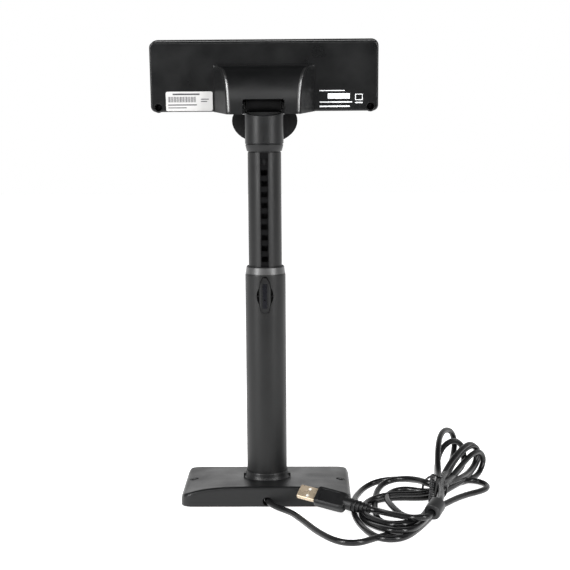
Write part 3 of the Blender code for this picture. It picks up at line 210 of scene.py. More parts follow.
LOBE_5 = (
    (0.15, -0.042, 0.006), (0.157, -0.016, 0.01), (0.168, 0.005, 0.0156), (0.179, 0.024, 0.021),
    (0.188, 0.037, 0.025), (0.1965, 0.048, 0.0244), (0.201, 0.054, 0.0156), (0.196, 0.047, 0.005),
    (0.183, 0.026, 0.0034), (0.168, 0.003, 0.0066),
)
TURN_B = (
    (0.159, -0.013, 0.011), (0.157, -0.0245, 0.014), (0.15, -0.0345, 0.017), (0.141, -0.0335, 0.018),
    (0.1345, -0.0235, 0.0176), (0.125, -0.0125, 0.016), (0.113, -0.007, 0.0136), (0.104, -0.0105, 0.0114),
    (0.0975, -0.023, 0.0086), (0.094, -0.044, 0.005), (0.093, -0.066, 0.0029), (0.094, -0.084, 0.0027),
    (0.098, -0.099, 0.0036), (0.107, -0.11, 0.006), (0.117, -0.1095, 0.007), (0.128, -0.099, 0.007),
    (0.137, -0.082, 0.007),
)
LOBE_4 = (
    (0.145, -0.056, 0.007), (0.152, -0.026, 0.009), (0.159, -0.006, 0.015), (0.17, 0.019, 0.024),
    (0.179, 0.032, 0.0294), (0.188, 0.043, 0.0316), (0.195, 0.051, 0.026), (0.1955, 0.052, 0.016),
    (0.188, 0.041, 0.008), (0.177, 0.017, 0.0058), (0.164, -0.007, 0.0064),
)
TURN_D = (
    (0.154, -0.024, 0.0066), (0.145, -0.0365, 0.0068), (0.132, -0.041, 0.007), (0.116, -0.039, 0.0066),
    (0.101, -0.038, 0.0052), (0.09, -0.043, 0.0036), (0.0835, -0.055, 0.0026), (0.081, -0.072, 0.0024),
    (0.083, -0.091, 0.0025), (0.089, -0.11, 0.0048), (0.098, -0.126, 0.0068), (0.108, -0.131, 0.0068),
    (0.119, -0.125, 0.0068), (0.128, -0.11, 0.007), (0.136, -0.09, 0.0074), (0.143, -0.064, 0.0088),
)
LOBE_3 = (
    (0.15, -0.03, 0.012), (0.1555, -0.012, 0.017), (0.163, 0.006, 0.023), (0.171, 0.019, 0.0286),
    (0.179, 0.031, 0.0326), (0.187, 0.043, 0.033), (0.194, 0.052, 0.026), (0.193, 0.05, 0.015),
    (0.185, 0.034, 0.0096), (0.173, 0.009, 0.01), (0.161, -0.01, 0.011),
)
TURN_C = (
    (0.153, -0.025, 0.0118), (0.1445, -0.0355, 0.0114), (0.134, -0.035, 0.0112), (0.124, -0.0285, 0.011),
    (0.1145, -0.0285, 0.0104), (0.107, -0.036, 0.0096), (0.104, -0.05, 0.009), (0.106, -0.066, 0.0086),
    (0.11, -0.0805, 0.008), (0.115, -0.093, 0.0074), (0.1245, -0.0995, 0.0076), (0.134, -0.0925, 0.0084),
    (0.1395, -0.077, 0.0096),
)
LOBE_2 = (
    (0.144, -0.056, 0.012), (0.149, -0.028, 0.016), (0.151, -0.008, 0.0196), (0.153, 0.009, 0.0246),
    (0.157, 0.023, 0.031), (0.1635, 0.033, 0.0358), (0.1725, 0.043, 0.0364), (0.181, 0.051, 0.028),
    (0.181, 0.043, 0.0166), (0.17, 0.012, 0.0136), (0.159, -0.016, 0.0144),
)
TURN_E = (
    (0.1505, -0.032, 0.0144), (0.141, -0.042, 0.0124), (0.128, -0.0445, 0.0114), (0.114, -0.0425, 0.0108),
    (0.101, -0.042, 0.0092), (0.0905, -0.0475, 0.0074), (0.0845, -0.059, 0.0068), (0.0825, -0.074, 0.0068),
    (0.0845, -0.09, 0.0068), (0.092, -0.105, 0.0074), (0.101, -0.117, 0.008), (0.11, -0.121, 0.0084),
    (0.1195, -0.115, 0.0086), (0.128, -0.103, 0.009), (0.136, -0.084, 0.0104), (0.143, -0.062, 0.0136),
    (0.148, -0.038, 0.018),
)
LOBE_1 = (
    (0.1515, -0.014, 0.0224), (0.152, -0.003, 0.03), (0.154, 0.012, 0.039), (0.1575, 0.028, 0.0444),
    (0.163, 0.042, 0.0464), (0.1705, 0.053, 0.0424), (0.174, 0.056, 0.0316), (0.171, 0.044, 0.022),
    (0.166, 0.022, 0.02), (0.16, -0.002, 0.019),
)
LINK = (
    (0.1535, -0.024, 0.019), (0.15, -0.044, 0.0188), (0.149, -0.06, 0.019),
)
TAIL = (
    (0.1305, -0.1175, 0.0139), (0.1215, -0.1175, 0.0134), (0.112, -0.1085, 0.0122), (0.103, -0.098, 0.0108),
)


def new_object(name, data):
    """A linked object for a mesh, curve, light or camera."""
    item = bpy.data.objects.new(name, data)
    bpy.context.scene.collection.objects.link(item)
    return item


def quiet_remove():
    """Drop the default objects that aren't part of the frame."""
    for name in ("Cube", "Light", "Camera"):
        item = bpy.data.objects.get(name)
        if item is not None:
            bpy.data.objects.remove(item, do_unlink=True)


# ---- camera, light and floor
def make_camera():
    """The view from behind that shows the latch, the hump and the coil."""
    data = bpy.data.cameras.new("view")
    data.lens = LENS
    data.sensor_width = 36
    item = new_object("view", data)
    turn = (Matrix.Rotation(CAMERA_YAW, 4, "Z") @ Matrix.Rotation(CAMERA_PITCH, 4, "X")
            @ Matrix.Rotation(CAMERA_ROLL, 4, "Z"))
    item.matrix_world = Matrix.Translation(CAMERA_PLACE) @ turn
    bpy.context.scene.camera = item


def area_light(name, place, target, size, power):
    """A soft box that points at a target."""
    data = bpy.data.lights.new(name, "AREA")
    data.shape = "RECTANGLE"
    data.size, data.size_y = size
    data.energy = power
    item = new_object(name, data)
    item.location = place
    item.rotation_euler = (Vector(target) - Vector(place)).to_track_quat("-Z", "Y").to_euler()


def add_node(tree, kind, values=None, links=None):
    """A shader node with its input values and the sockets that feed its inputs."""
    node = tree.nodes.new("ShaderNode" + kind)
    for key, value in (values or {}).items():
        node.inputs[key].default_value = value
    for key, socket in (links or {}).items():
        tree.links.new(socket, node.inputs[key])
    return node


def map_range(tree, socket, source, target):
    """Map a socket's values from one span to another."""
    values = {"From Min": source[0], "From Max": source[1], "To Min": target[0], "To Max": target[1]}
    return add_node(tree, "MapRange", values, {"Value": socket}).outputs["Result"]


def make_world():
    """White surroundings: bright beyond the object, dim above and behind the camera."""
    world = bpy.data.worlds.new("white_room")
    world.use_nodes = True
    tree = world.node_tree
    glow = tree.nodes["Background"]
    glow.inputs["Color"].default_value = (1, 1, 1, 1)
    place = add_node(tree, "TexCoord")
    split = add_node(tree, "SeparateXYZ", links={"Vector": place.outputs["Generated"]})
    beyond = map_range(tree, split.outputs["Y"], ROOM_DEPTH_SPAN, (ROOM_BEHIND, ROOM_BEYOND))
    above = map_range(tree, split.outputs["Z"], ROOM_HEIGHT_SPAN, (1.0, ROOM_ABOVE))
    both = add_node(tree, "Math", links={0: beyond, 1: above})
    both.operation = "MULTIPLY"
    seen = add_node(tree, "LightPath").outputs["Is Camera Ray"]
    choose = add_node(tree, "Mix", {"B": 1.0}, {"Factor": seen, "A": both.outputs["Value"]})
    tree.links.new(choose.outputs["Result"], glow.inputs["Strength"])
    bpy.context.scene.world = world


def make_studio():
    """Pale floor, white surroundings and soft boxes."""
    bpy.context.scene.view_settings.view_transform = "Standard"
    for name, (place, target, size, power) in SOFT_BOXES.items():
        area_light(name, place, target, size, power)
    make_world()
    bm = bmesh.new()
    bmesh.ops.create_grid(bm, x_segments=1, y_segments=1, size=FLOOR_SIZE)
    mesh = bpy.data.meshes.new("floor")
    bm.to_mesh(mesh)
    bm.free()
    floor = new_object("floor", mesh)
    floor.location = (0, FLOOR_SIZE - FLOOR_NEAR, FLOOR_Z)
    paper = plain("floor_paper", (0.92, 0.92, 0.92), 0.9)
    shader = paper.node_tree.nodes["Principled BSDF"]
    shader.inputs["Emission Color"].default_value = (1, 1, 1, 1)
    shader.inputs["Emission Strength"].default_value = FLOOR_GLOW
    mesh.materials.append(paper)


# ---- materials
PATCH_SPAN = (0.3, 0.7)
GRAIN_STRENGTH = 0.6
# slot or finish: material name, dark tone, light tone, roughness, grain, grain depth, other looks
FINISHES = {
    "black_plastic": ("housing_plastic", (0.0042, 0.0044, 0.0047), (0.006, 0.0062, 0.0066),
                      0.4, 2600, 0.00005, dict(specular=0.33)),
    # The head shell's plastic: glossier, and darker than the housing plastic; the darker tone is painted
    # shade.
    "shaded_head_plastic": ("shaded_head_plastic", (0.0036, 0.0038, 0.004), (0.0052, 0.0054, 0.0057),
                     0.33, 2600, 0.00005, dict(specular=0.33)),
    "tube_plastic": ("pole_plastic", (0.0052, 0.0053, 0.0054), (0.008, 0.0081, 0.0083),
                     0.4, 3200, 0.00003, dict(stretch=(1, 1, 0.6), specular=0.31)),
    "polished": ("polished_plastic", (0.006, 0.0061, 0.0063), (0.0084, 0.0085, 0.0088),
                 0.45, 2600, 0.00001, dict(specular=0.85, coat=0.8, coat_rough=0.38, rough_spread=0.03)),
    # Glossier and a little lighter than the housing plastic: a painted sheen that brings out the hump's ridge
    # highlights.
    "ridge_sheen": ("ridge_sheen_plastic", (0.006, 0.0061, 0.0063), (0.009, 0.0091, 0.0094),
               0.3, 2600, 0.00001, dict(specular=0.9, coat=0.6, coat_rough=0.25, rough_spread=0.04)),
    "dark_plastic": ("dark_plastic", (0.0025, 0.0025, 0.0028), (0.004, 0.004, 0.0043),
                     0.42, 3000, 0.00002, dict(specular=0.3)),
    # Darker than the dark plastic: painted shade, for parts that sit in recesses, corners and the notch.
    "painted_shade_plastic": ("painted_shade_plastic", (0.0016, 0.0016, 0.0018), (0.0028, 0.0028, 0.003),
                       0.55, 2800, 0.00002, dict(specular=0.08)),
    "strip_plastic": ("strip_plastic", (0.003, 0.0031, 0.005), (0.0046, 0.0048, 0.0074),
                      0.3, 2800, 0.00002, dict(specular=0.3)),
    "steel": ("zinc_steel", (0.34, 0.34, 0.35), (0.48, 0.48, 0.49),
              0.32, 1800, 0.00002, dict(metallic=1.0, patch=90)),
    "black_steel": ("black_steel", (0.02, 0.02, 0.021), (0.035, 0.035, 0.036),
                    0.36, 2000, 0.00002, dict(metallic=1.0)),
    "foam": ("red_liner", (0.4, 0.03, 0.03), (0.52, 0.05, 0.04), 0.7, 900, 0.0001),
    "lcd": ("display_glass", (0.01, 0.02, 0.026), (0.016, 0.03, 0.038), 0.1),
    "light_guide": ("light_guide", (0.7, 0.73, 0.75), (0.78, 0.8, 0.82), 0.35),
    "board": ("circuit_board", (0.012, 0.1, 0.035), (0.02, 0.15, 0.05), 0.4, 700, 0.0001),
    "chip": ("chip_epoxy", (0.015, 0.015, 0.015), (0.022, 0.022, 0.022), 0.55, 2500, 0.00002),
    "white_plastic": ("nylon", (0.7, 0.69, 0.65), (0.78, 0.77, 0.73), 0.45, 2000, 0.00002),
    "label": ("label_film", (0.47, 0.465, 0.46), (0.53, 0.525, 0.52), 0.42, 1500, 0.00001),
    "ink": ("white_ink", (0.72, 0.73, 0.74), (0.82, 0.83, 0.84), 0.5, 2500, 0.00001),
    "grey_ink": ("grey_ink", (0.03, 0.03, 0.034), (0.06, 0.06, 0.066), 0.5, 2500, 0.00001),
    "cord": ("cord_sheath", (0.0036, 0.0037, 0.004), (0.0056, 0.0057, 0.006),
             0.26, 1400, 0.00003, dict(patch=60, specular=0.35)),
    "overmould": ("overmould", (0.008, 0.0082, 0.0086), (0.011, 0.0112, 0.0116), 0.42, 2600, 0.00004),
    "plug_plastic": ("plug_plastic", (0.004, 0.0041, 0.0044), (0.006, 0.0061, 0.0065),
                     0.42, 2600, 0.00004, dict(specular=0.3)),
    "plug_metal": ("plug_metal", (0.5, 0.405, 0.29), (0.6, 0.49, 0.36),
                   0.28, 1200, 0.00001, dict(metallic=0.6, patch=160)),
    "tie": ("tie_wire", (0.01, 0.01, 0.011), (0.018, 0.018, 0.019), 0.22, 1500, 0.00002, dict(coat=0.3)),
    "cell": ("display_cell", (0.02, 0.045, 0.05), (0.03, 0.06, 0.066), 0.22),
}


def plain(name, colour, roughness, metallic=0.0):
    """A Principled material to build on."""
    material = bpy.data.materials.new(name)
    material.use_nodes = True
    shader = material.node_tree.nodes["Principled BSDF"]
    shader.inputs["Base Color"].default_value = (*colour, 1)
    shader.inputs["Roughness"].default_value = roughness
    shader.inputs["Metallic"].default_value = metallic
    return material


def surface(name, dark, light, rough, grain=0.0, depth=0.0, metallic=0.0, patch=45.0, specular=0.5,
            coat=0.0, coat_rough=0.12, stretch=(1, 1, 1), rough_spread=0.06):
    """Two tones in soft patches, uneven gloss and a fine bumped grain; patch and grain are per metre."""
    material = plain(name, light, rough, metallic)
    tree = material.node_tree
    shader = tree.nodes["Principled BSDF"]
    shader.inputs["Specular IOR Level"].default_value = specular
    shader.inputs["Coat Weight"].default_value = coat
    shader.inputs["Coat Roughness"].default_value = coat_rough
    place = add_node(tree, "TexCoord").outputs["Object"]
    mapped = add_node(tree, "Mapping", {"Scale": stretch}, {"Vector": place}).outputs["Vector"]
    cloud = add_node(tree, "TexNoise", {"Scale": patch, "Detail": 4}, {"Vector": mapped}).outputs["Fac"]
    ramp = add_node(tree, "ValToRGB", links={"Fac": cloud})
    for element, position, colour in zip(ramp.color_ramp.elements, PATCH_SPAN, (dark, light)):
        element.position = position
        element.color = (*colour, 1)
    tree.links.new(ramp.outputs["Color"], shader.inputs["Base Color"])
    gloss = map_range(tree, cloud, PATCH_SPAN, (rough - rough_spread, rough + rough_spread))
    tree.links.new(gloss, shader.inputs["Roughness"])
    if grain:
        fine = add_node(tree, "TexNoise", {"Scale": grain, "Detail": 2}, {"Vector": mapped}).outputs["Fac"]
        bump = add_node(tree, "Bump", {"Strength": GRAIN_STRENGTH, "Distance": depth}, {"Height": fine})
        tree.links.new(bump.outputs["Normal"], shader.inputs["Normal"])
    return material


def make_materials():
    """Every finish on the object."""
    smoked = plain("smoked_window", (0.1, 0.11, 0.12), 0.04)
    shader = smoked.node_tree.nodes["Principled BSDF"]
    shader.inputs["Transmission Weight"].default_value = 0.75
    shader.inputs["IOR"].default_value = 1.49
    finishes = {"smoked": smoked}
    for slot, row in FINISHES.items():
        looks = row[-1] if isinstance(row[-1], dict) else {}
        finishes[slot] = surface(*(row[:-1] if looks else row), **looks)
    return finishes


# ---- mesh helpers
SMOOTH_ANGLE = 32


def make_piece(name, bm):
    """Turn a bmesh into an object with outward faces and soft shading."""
    bmesh.ops.recalc_face_normals(bm, faces=bm.faces)
    mesh = bpy.data.meshes.new(name)
    bm.to_mesh(mesh)
    bm.free()
    mesh.shade_smooth()
    mesh.set_sharp_from_angle(angle=math.radians(SMOOTH_ANGLE))
    return new_object(name, mesh)


def skin(bm, rings, joined=False):
    """Bridge rings of equal length; cap both ends unless the last joins the first."""
    loops = [[bm.verts.new(point) for point in ring] for ring in rings]
    count = len(loops[0])
    pairs = list(zip(loops, loops[1:]))
    if joined:
        pairs.append((loops[-1], loops[0]))
    for low, high in pairs:
        for i in range(count):
            j = (i + 1) % count
            bm.faces.new((low[i], low[j], high[j], high[i]))
    if not joined:
        bm.faces.new(list(reversed(loops[0])))
        bm.faces.new(loops[-1])


def ring_piece(name, rings, joined=False):
    """One closed piece skinned over rings."""
    bm = bmesh.new()
    skin(bm, rings, joined)
    return make_piece(name, bm)


def basis(along):
    """Two directions square to a third."""
    side = along.orthogonal().normalized()
    return side, along.cross(side)


def turned(name, profile, start=(0, 0, 0), along=(0, 0, 1), segments=96):
    """Turn (radius, distance) points about an axis; a profile that returns makes a tube."""
    start, along = Vector(start), Vector(along).normalized()
    side, other = basis(along)
    rings = []
    for radius, distance in profile:
        ring = []
        for i in range(segments):
            angle = 2 * math.pi * (i + 0.5) / segments
            reach = math.cos(angle) * side + math.sin(angle) * other
            ring.append(start + along * distance + radius * reach)
        rings.append(ring)
    closed = (Vector(profile[0]) - Vector(profile[-1])).length < 1e-9
    if closed:
        rings.pop()
    return ring_piece(name, rings, closed)


def rod(name, radius, low, high, *place):
    """A plain cylinder between two distances along an axis."""
    return turned(name, [(radius, low), (radius, high)], *place)


def sleeve(name, inner, outer, low, high, *place):
    """A plain tube between two distances along an axis."""
    return turned(name, [(inner, low), (outer, low), (outer, high), (inner, high), (inner, low)], *place)


def rounded_outline(half_width, low, high, corner, steps=10):
    """Rounded rectangle, counter-clockwise in (x, v)."""
    centres = (
        (half_width - corner, high - corner, 0.0), (corner - half_width, high - corner, 0.5),
        (corner - half_width, low + corner, 1.0), (half_width - corner, low + corner, 1.5),
    )
    points = []
    for cx, cv, turn in centres:
        for i in range(steps + 1):
            angle = math.pi * (turn + 0.5 * i / steps)
            points.append((cx + corner * math.cos(angle), cv + corner * math.sin(angle)))
    return points


def prism(name, outline, low, high, plane="XZ"):
    """Extrude an outline between two levels."""
    order = {"XY": (0, 1, 2), "XZ": (0, 2, 1)}[plane]
    rings = [[[(u, v, level)[k] for k in order] for u, v in outline] for level in (low, high)]
    return ring_piece(name, rings)


def box(name, low, high):
    """A box between two corners."""
    outline = [(low[0], low[1]), (high[0], low[1]), (high[0], high[1]), (low[0], high[1])]
    return prism(name, outline, low[2], high[2], "XY")


def cut(target, tool, operation="DIFFERENCE"):
    """Cut a tool from a target."""
    tool.hide_render = True
    modifier = target.modifiers.new(tool.name, "BOOLEAN")
    modifier.operation = operation
    modifier.solver = "EXACT"
    modifier.object = tool


def add(target, tool):
    """Join a tool to a target."""
    cut(target, tool, "UNION")


def soften(target, width, segments=2, angle=38):
    """Round the sharp edges a little."""
    modifier = target.modifiers.new("soften", "BEVEL")
    modifier.width = width
    modifier.segments = segments
    modifier.limit_method = "ANGLE"
    modifier.angle_limit = math.radians(angle)


def weigh_faces(target):
    """Let large flat faces keep their shading beside rounded edges."""
    modifier = target.modifiers.new("face_weights", "WEIGHTED_NORMAL")
    modifier.keep_sharp = True


def bake(target, smooth_angle=SMOOTH_ANGLE):
    """Apply a piece's modifiers and remove the tools that they used."""
    tools = [m.object for m in target.modifiers if m.type == "BOOLEAN"]
    graph = bpy.context.evaluated_depsgraph_get()
    mesh = bpy.data.meshes.new_from_object(target.evaluated_get(graph))
    target.modifiers.clear()
    target.data = mesh
    mesh.materials.clear()
    for polygon in mesh.polygons:
        polygon.material_index = 0
    mesh.shade_smooth()
    mesh.set_sharp_from_angle(angle=math.radians(smooth_angle))
    for tool in tools:
        bpy.data.objects.remove(tool, do_unlink=True)
    weigh_faces(target)
    return target


def head_matrix():
    """Place of the head's own frame: its tilt axis, tilted back and dropped."""
    tilt = Matrix.Translation((0, 0, TILT_Z)) @ Matrix.Rotation(TILT_REST, 4, "X")
    return tilt @ Matrix.Translation((0, 0, -HEAD_DROP))


def settle(piece, body, slot, *nodes, finish=None):
    """Ride on a body, take a slot and its finish or another one, and stand for CAD nodes.

    A piece of the head is built in the head's own frame and put in its place here.
    """
    if body == "head":
        piece.data.transform(head_matrix())
    piece.data.materials.append(finishes[finish or slot])
    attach(piece, body)
    if nodes:
        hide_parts(*nodes)
    return piece


# ---- base
def base_top(x, y):
    """Height of the base's top: straight at the front, arched at the rear."""
    arch = BASE_REAR_HEIGHT - BASE_SHOULDER_DROP * (abs(x) / (BASE_WIDTH / 2)) ** 4
    return BASE_FRONT_HEIGHT + (arch - BASE_FRONT_HEIGHT) * (0.5 - y / BASE_DEPTH)


def base_section(x, inset, floor, edge, steps=8):
    """Cross-section of the base at one x."""
    half_width = BASE_WIDTH / 2 - inset
    corner = BASE_CORNER - inset
    past = max(0.0, abs(x) - (half_width - corner))
    half_depth = BASE_DEPTH / 2 - inset - (corner - math.sqrt(max(corner ** 2 - past ** 2, 0.0)))
    end_drop = edge * max(0.0, 1 - (half_width - abs(x)) / edge) ** 2
    points = [(-half_depth, floor), (half_depth, floor)]
    for sign, start in ((1, 0.0), (-1, 0.5)):
        for i in range(steps + 1):
            angle = math.pi * (start + 0.5 * i / steps)
            y = sign * (half_depth - edge) + edge * math.cos(angle)
            points.append((y, base_top(x, y) - inset - end_drop - edge * (1 - math.sin(angle))))
    return [(x, y, z) for y, z in points]


def base_loft(name, inset, floor, edge):
    """Skin the base's sections from end to end."""
    half = BASE_WIDTH / 2 - inset
    steps = END_STEPS + [0.012 + 0.004 * i for i in range(15)]
    right = [half - step for step in steps]
    stations = [-x for x in right] + [0.0] + list(reversed(right))
    return ring_piece(name, [base_section(x, inset, floor, edge) for x in stations])


def make_base():
    """Low moulded cover with its screw recesses, pole hole and cord mouth."""
    cover = base_loft("base_housing", 0.0, BASE_FLOOR, BASE_EDGE)
    cut(cover, base_loft("inside", BASE_WALL, -0.001, 0.001))
    cut(cover, rod("pole", LOWER_RADIUS + GAP, -0.01, 0.03))
    for side in (-1, 1):
        place = (side * BASE_SCREW_X, 0, 0)
        lip = base_top(side * BASE_SCREW_X, 0)
        recess = [(0.0019, -0.01), (0.0019, RECESS_FLOOR), (0.0036, RECESS_FLOOR), (0.0038, lip - 0.0002),
                  (0.0043, lip + 0.001), (0.0043, 0.03)]
        cut(cover, turned("recess", recess, place, (0, 0, 1), 48))
    mouth = [(x + MOUTH_X, z) for x, z in rounded_outline(MOUTH_HALF, MOUTH_SILL, MOUTH_TOP, 0.0036, 8)]
    cut(cover, prism("mouth", mouth, -0.05, -0.04))
    soften(cover, 0.0003, 2, 50)
    settle(bake(cover, 40), "base", "black_plastic", "base_cover")
    place = (MOUTH_X, *GROMMET_PLACE)
    inner = CORD_DIAMETER / 2
    # The grommet takes the darkest finish: its extra darkness is painted shade inside the cord mouth.
    grommet = sleeve("cord_grommet", inner, GROMMET_RADIUS, 0.0, GROMMET_DEPTH, place, (0, 1, 0), 48)
    settle(grommet, "base", "dark_plastic", finish="painted_shade_plastic")
    inner = LOWER_RADIUS + GAP
    collar = [
        (inner, 0.012), (0.0205, 0.012), (0.0205, 0.0157), (0.0203, 0.0164), (0.0198, 0.0171),
        (0.0193, 0.0181), (0.019, 0.0195), (0.0188, 0.021), (0.0187, 0.0217), (0.0184, 0.0221),
        (LOWER_RADIUS + 0.0005, 0.0222), (inner, 0.0219), (inner, 0.012),
    ]
    ring = turned("pole_collar", collar, segments=128)
    for side in (-1, 1):
        near, far = sorted((side * 0.0185, side * 0.0209))
        add(ring, box("lug", (near, -0.003, 0.0125), (far, 0.003, 0.019)))
    soften(ring, 0.0003)
    settle(bake(ring), "base", "black_plastic", "foot_collar")


# ---- pole
def latch_outline(extra=0.0):
    """Outline of the thumb pad: a long lozenge with a pointed top."""
    w, h = 0.005 + extra, 0.014 + extra
    return [
        (w, -0.005), (w, 0.005), (0.8 * w, 0.8 * h), (0.3 * w, 1.16 * h), (-0.3 * w, 1.16 * h),
        (-0.8 * w, 0.8 * h), (-w, 0.005), (-w, -0.005), (-0.7 * w, -0.86 * h), (-0.5 * w, -h),
        (0.5 * w, -h), (0.7 * w, -0.86 * h),
    ]


def ellipsoid(name, centre, radii, rings=24, segments=48):
    """A closed ellipsoid used as a cutter."""
    bm = bmesh.new()
    bmesh.ops.create_uvsphere(bm, u_segments=segments, v_segments=rings, radius=1.0)
    for vert in bm.verts:
        vert.co = Vector(centre[k] + vert.co[k] * radii[k] for k in range(3))
    return make_piece(name, bm)


def make_lower_tube():
    """Outer tube with its bevelled rim, latch window and thumb dish."""
    wall, top = LOWER_RADIUS, LOWER_TOP
    rim = wall - RIM_NARROWING
    profile = [
        (LOWER_BORE, LOWER_BOTTOM), (wall - 0.0004, LOWER_BOTTOM), (wall, LOWER_BOTTOM + 0.0004),
        (wall, top - 0.0079), (wall - 0.00005, top - 0.0075), (wall - 0.0002, top - 0.0071),
        (rim + 0.0001, top - 0.001), (rim - 0.0001, top - 0.0005), (rim - 0.0004, top - 0.0001),
        (rim - 0.0007, top), (LOWER_BORE + 0.0003, top), (LOWER_BORE, top - 0.0003),
        (LOWER_BORE, LOWER_BOTTOM),
    ]
    tube = turned("outer_pole", profile, segments=160)
    z = LATCH_PIVOT.z
    window = [(x, v + z) for x, v in latch_outline(0.0006)]
    cut(tube, prism("window", window, -0.022, -0.01))
    turns = [math.pi * i / 24 for i in range(48)]
    gaps = [(CRESCENT[0] * math.cos(a), z + CRESCENT[1] * math.sin(a)) for a in turns]
    cut(tube, prism("crescents", gaps, -0.022, -0.0135))
    cut(tube, ellipsoid("dish", (0, -LOWER_RADIUS - 0.0022, z), (0.0082, 0.0042, 0.015)))
    cut(tube, box("notch", (MOUTH_X - 0.0031, -0.02, 0.0), (MOUTH_X + 0.0031, -0.01, 0.01)))
    soften(tube, 0.00025, 2, 45)
    settle(bake(tube, 40), "base", "tube_plastic", "lower_tube")
    low, high = (wall - RIM_PROUD, top - 0.0075), (rim + RIM_PROUD, top - 0.001)
    inner = [(radius - RIM_THICKNESS, z) for radius, z in (low, high)]
    band = turned("pole_rim", [inner[0], low, high, inner[1], inner[0]], segments=160)
    settle(band, "base", "tube_plastic", finish="polished")


def pad_hole(name, z):
    """Tool for the small hole that runs through the thumb pad and its strip."""
    return rod(name, 0.0008, -0.022, -0.018, (0, 0, z - 0.003), (0, 1, 0), 24)


def make_latch():
    """Rocking thumb pad: sloped flanks, a dark inset strip, a small hole and the nose that holds the mast."""
    y, z = LATCH_PIVOT.y, LATCH_PIVOT.z
    pad = prism("latch_pad", [(x, v + z) for x, v in latch_outline()], LATCH_OUTER, LATCH_INNER)
    clear = LATCH_OUTER - 0.002
    for side in (-1, 1):
        edge = side * LATCH_HALF
        flank = [(side * LATCH_FLAT_HALF, clear), (2 * edge, clear), (2 * edge, LATCH_FLANK - 0.0006),
                 (edge, LATCH_FLANK)]
        cut(pad, prism("flank", flank, z - 0.02, z + 0.02, "XY"))
    for side in (-1, 1):
        tip = Vector((side * 0.003, LATCH_OUTER + 0.0004, z + 0.0148))
        facing = Vector((side * 0.62, -0.72, 0.42)).normalized()
        cut(pad, rod("shoulder", 0.0042, 0.0, 0.006, tip, facing, 4))
    inset = LATCH_OUTER + 0.0004
    cut(pad, box("strip", (-0.0021, LATCH_OUTER - 0.001, z - 0.0105), (0.0021, inset, z + 0.011)))
    low, high = (-0.003, y - 0.0018, z - 0.0025), (0.003, y + 0.0007, z + 0.0025)
    add(pad, box("lug", low, high))
    nose = NOTCH_TOP_Z - LATCH_NOTCH * NOTCH_PITCH
    low, high = (-0.0018, y - 0.0018, nose - 0.0015), (0.0018, y + 0.0013, nose + 0.0015)
    add(pad, box("nose", low, high))
    cut(pad, rod("pin_hole", 0.00095, -0.01, 0.01, (0, y, z), (1, 0, 0), 24))
    cut(pad, pad_hole("pad_hole", z))
    soften(pad, 0.00035, 3, 30)
    settle(bake(pad), "latch", "tube_plastic", "latch_button")
    low, high = (-0.0019, LATCH_OUTER + 0.00012, z - 0.0103), (0.0019, LATCH_OUTER + 0.0006, z + 0.0108)
    strip = box("latch_strip", low, high)
    cut(strip, pad_hole("strip_hole", z))
    soften(strip, 0.00012)
    settle(bake(strip), "latch", "dark_plastic", finish="strip_plastic")


def notch_tool(name):
    """Row of blocks that cut the ladder of notches."""
    bm = bmesh.new()
    for i in range(NOTCH_COUNT):
        middle = NOTCH_TOP_Z - i * NOTCH_PITCH
        for vert in bmesh.ops.create_cube(bm, size=1.0)["verts"]:
            x, y, z = vert.co
            vert.co = (x * (2 * GROOVE_HALF - 0.0014), -0.0125 + y * 0.007, middle + z * NOTCH_HEIGHT)
    return make_piece(name, bm)


def make_upper_tube():
    """Inner tube with the groove and its ladder of notches, and a dark lining of painted shade in the groove.
    """
    edge = 0.0004
    profile = [
        (UPPER_BORE, UPPER_BOTTOM), (UPPER_RADIUS - edge, UPPER_BOTTOM), (UPPER_RADIUS, UPPER_BOTTOM + edge),
        (UPPER_RADIUS, UPPER_TOP - edge), (UPPER_RADIUS - edge, UPPER_TOP), (UPPER_BORE, UPPER_TOP),
        (UPPER_BORE, UPPER_BOTTOM),
    ]
    tube = turned("inner_pole", profile, segments=160)
    floor = -(UPPER_RADIUS - GROOVE_DEPTH)
    low = (-GROOVE_HALF, -0.02, UPPER_BOTTOM + 0.01)
    cut(tube, box("groove", low, (GROOVE_HALF, floor, UPPER_TOP + 0.001)))
    cut(tube, notch_tool("notches"))
    soften(tube, 0.0002, 2, 45)
    settle(bake(tube, 40), "mast", "tube_plastic", "upper_tube")
    # A thin dark lining on the groove floor, notched like the tube: painted shade in the groove.
    shade_liner = box("notch_shade_liner", (-GROOVE_HALF + GAP, floor - LINER_THICKNESS, UPPER_BOTTOM + 0.011),
               (GROOVE_HALF - GAP, floor + 0.0001, UPPER_TOP - 0.0005))
    cut(shade_liner, notch_tool("liner_notches"))
    soften(shade_liner, 0.00015)
    settle(bake(shade_liner), "mast", "dark_plastic", finish="painted_shade_plastic")


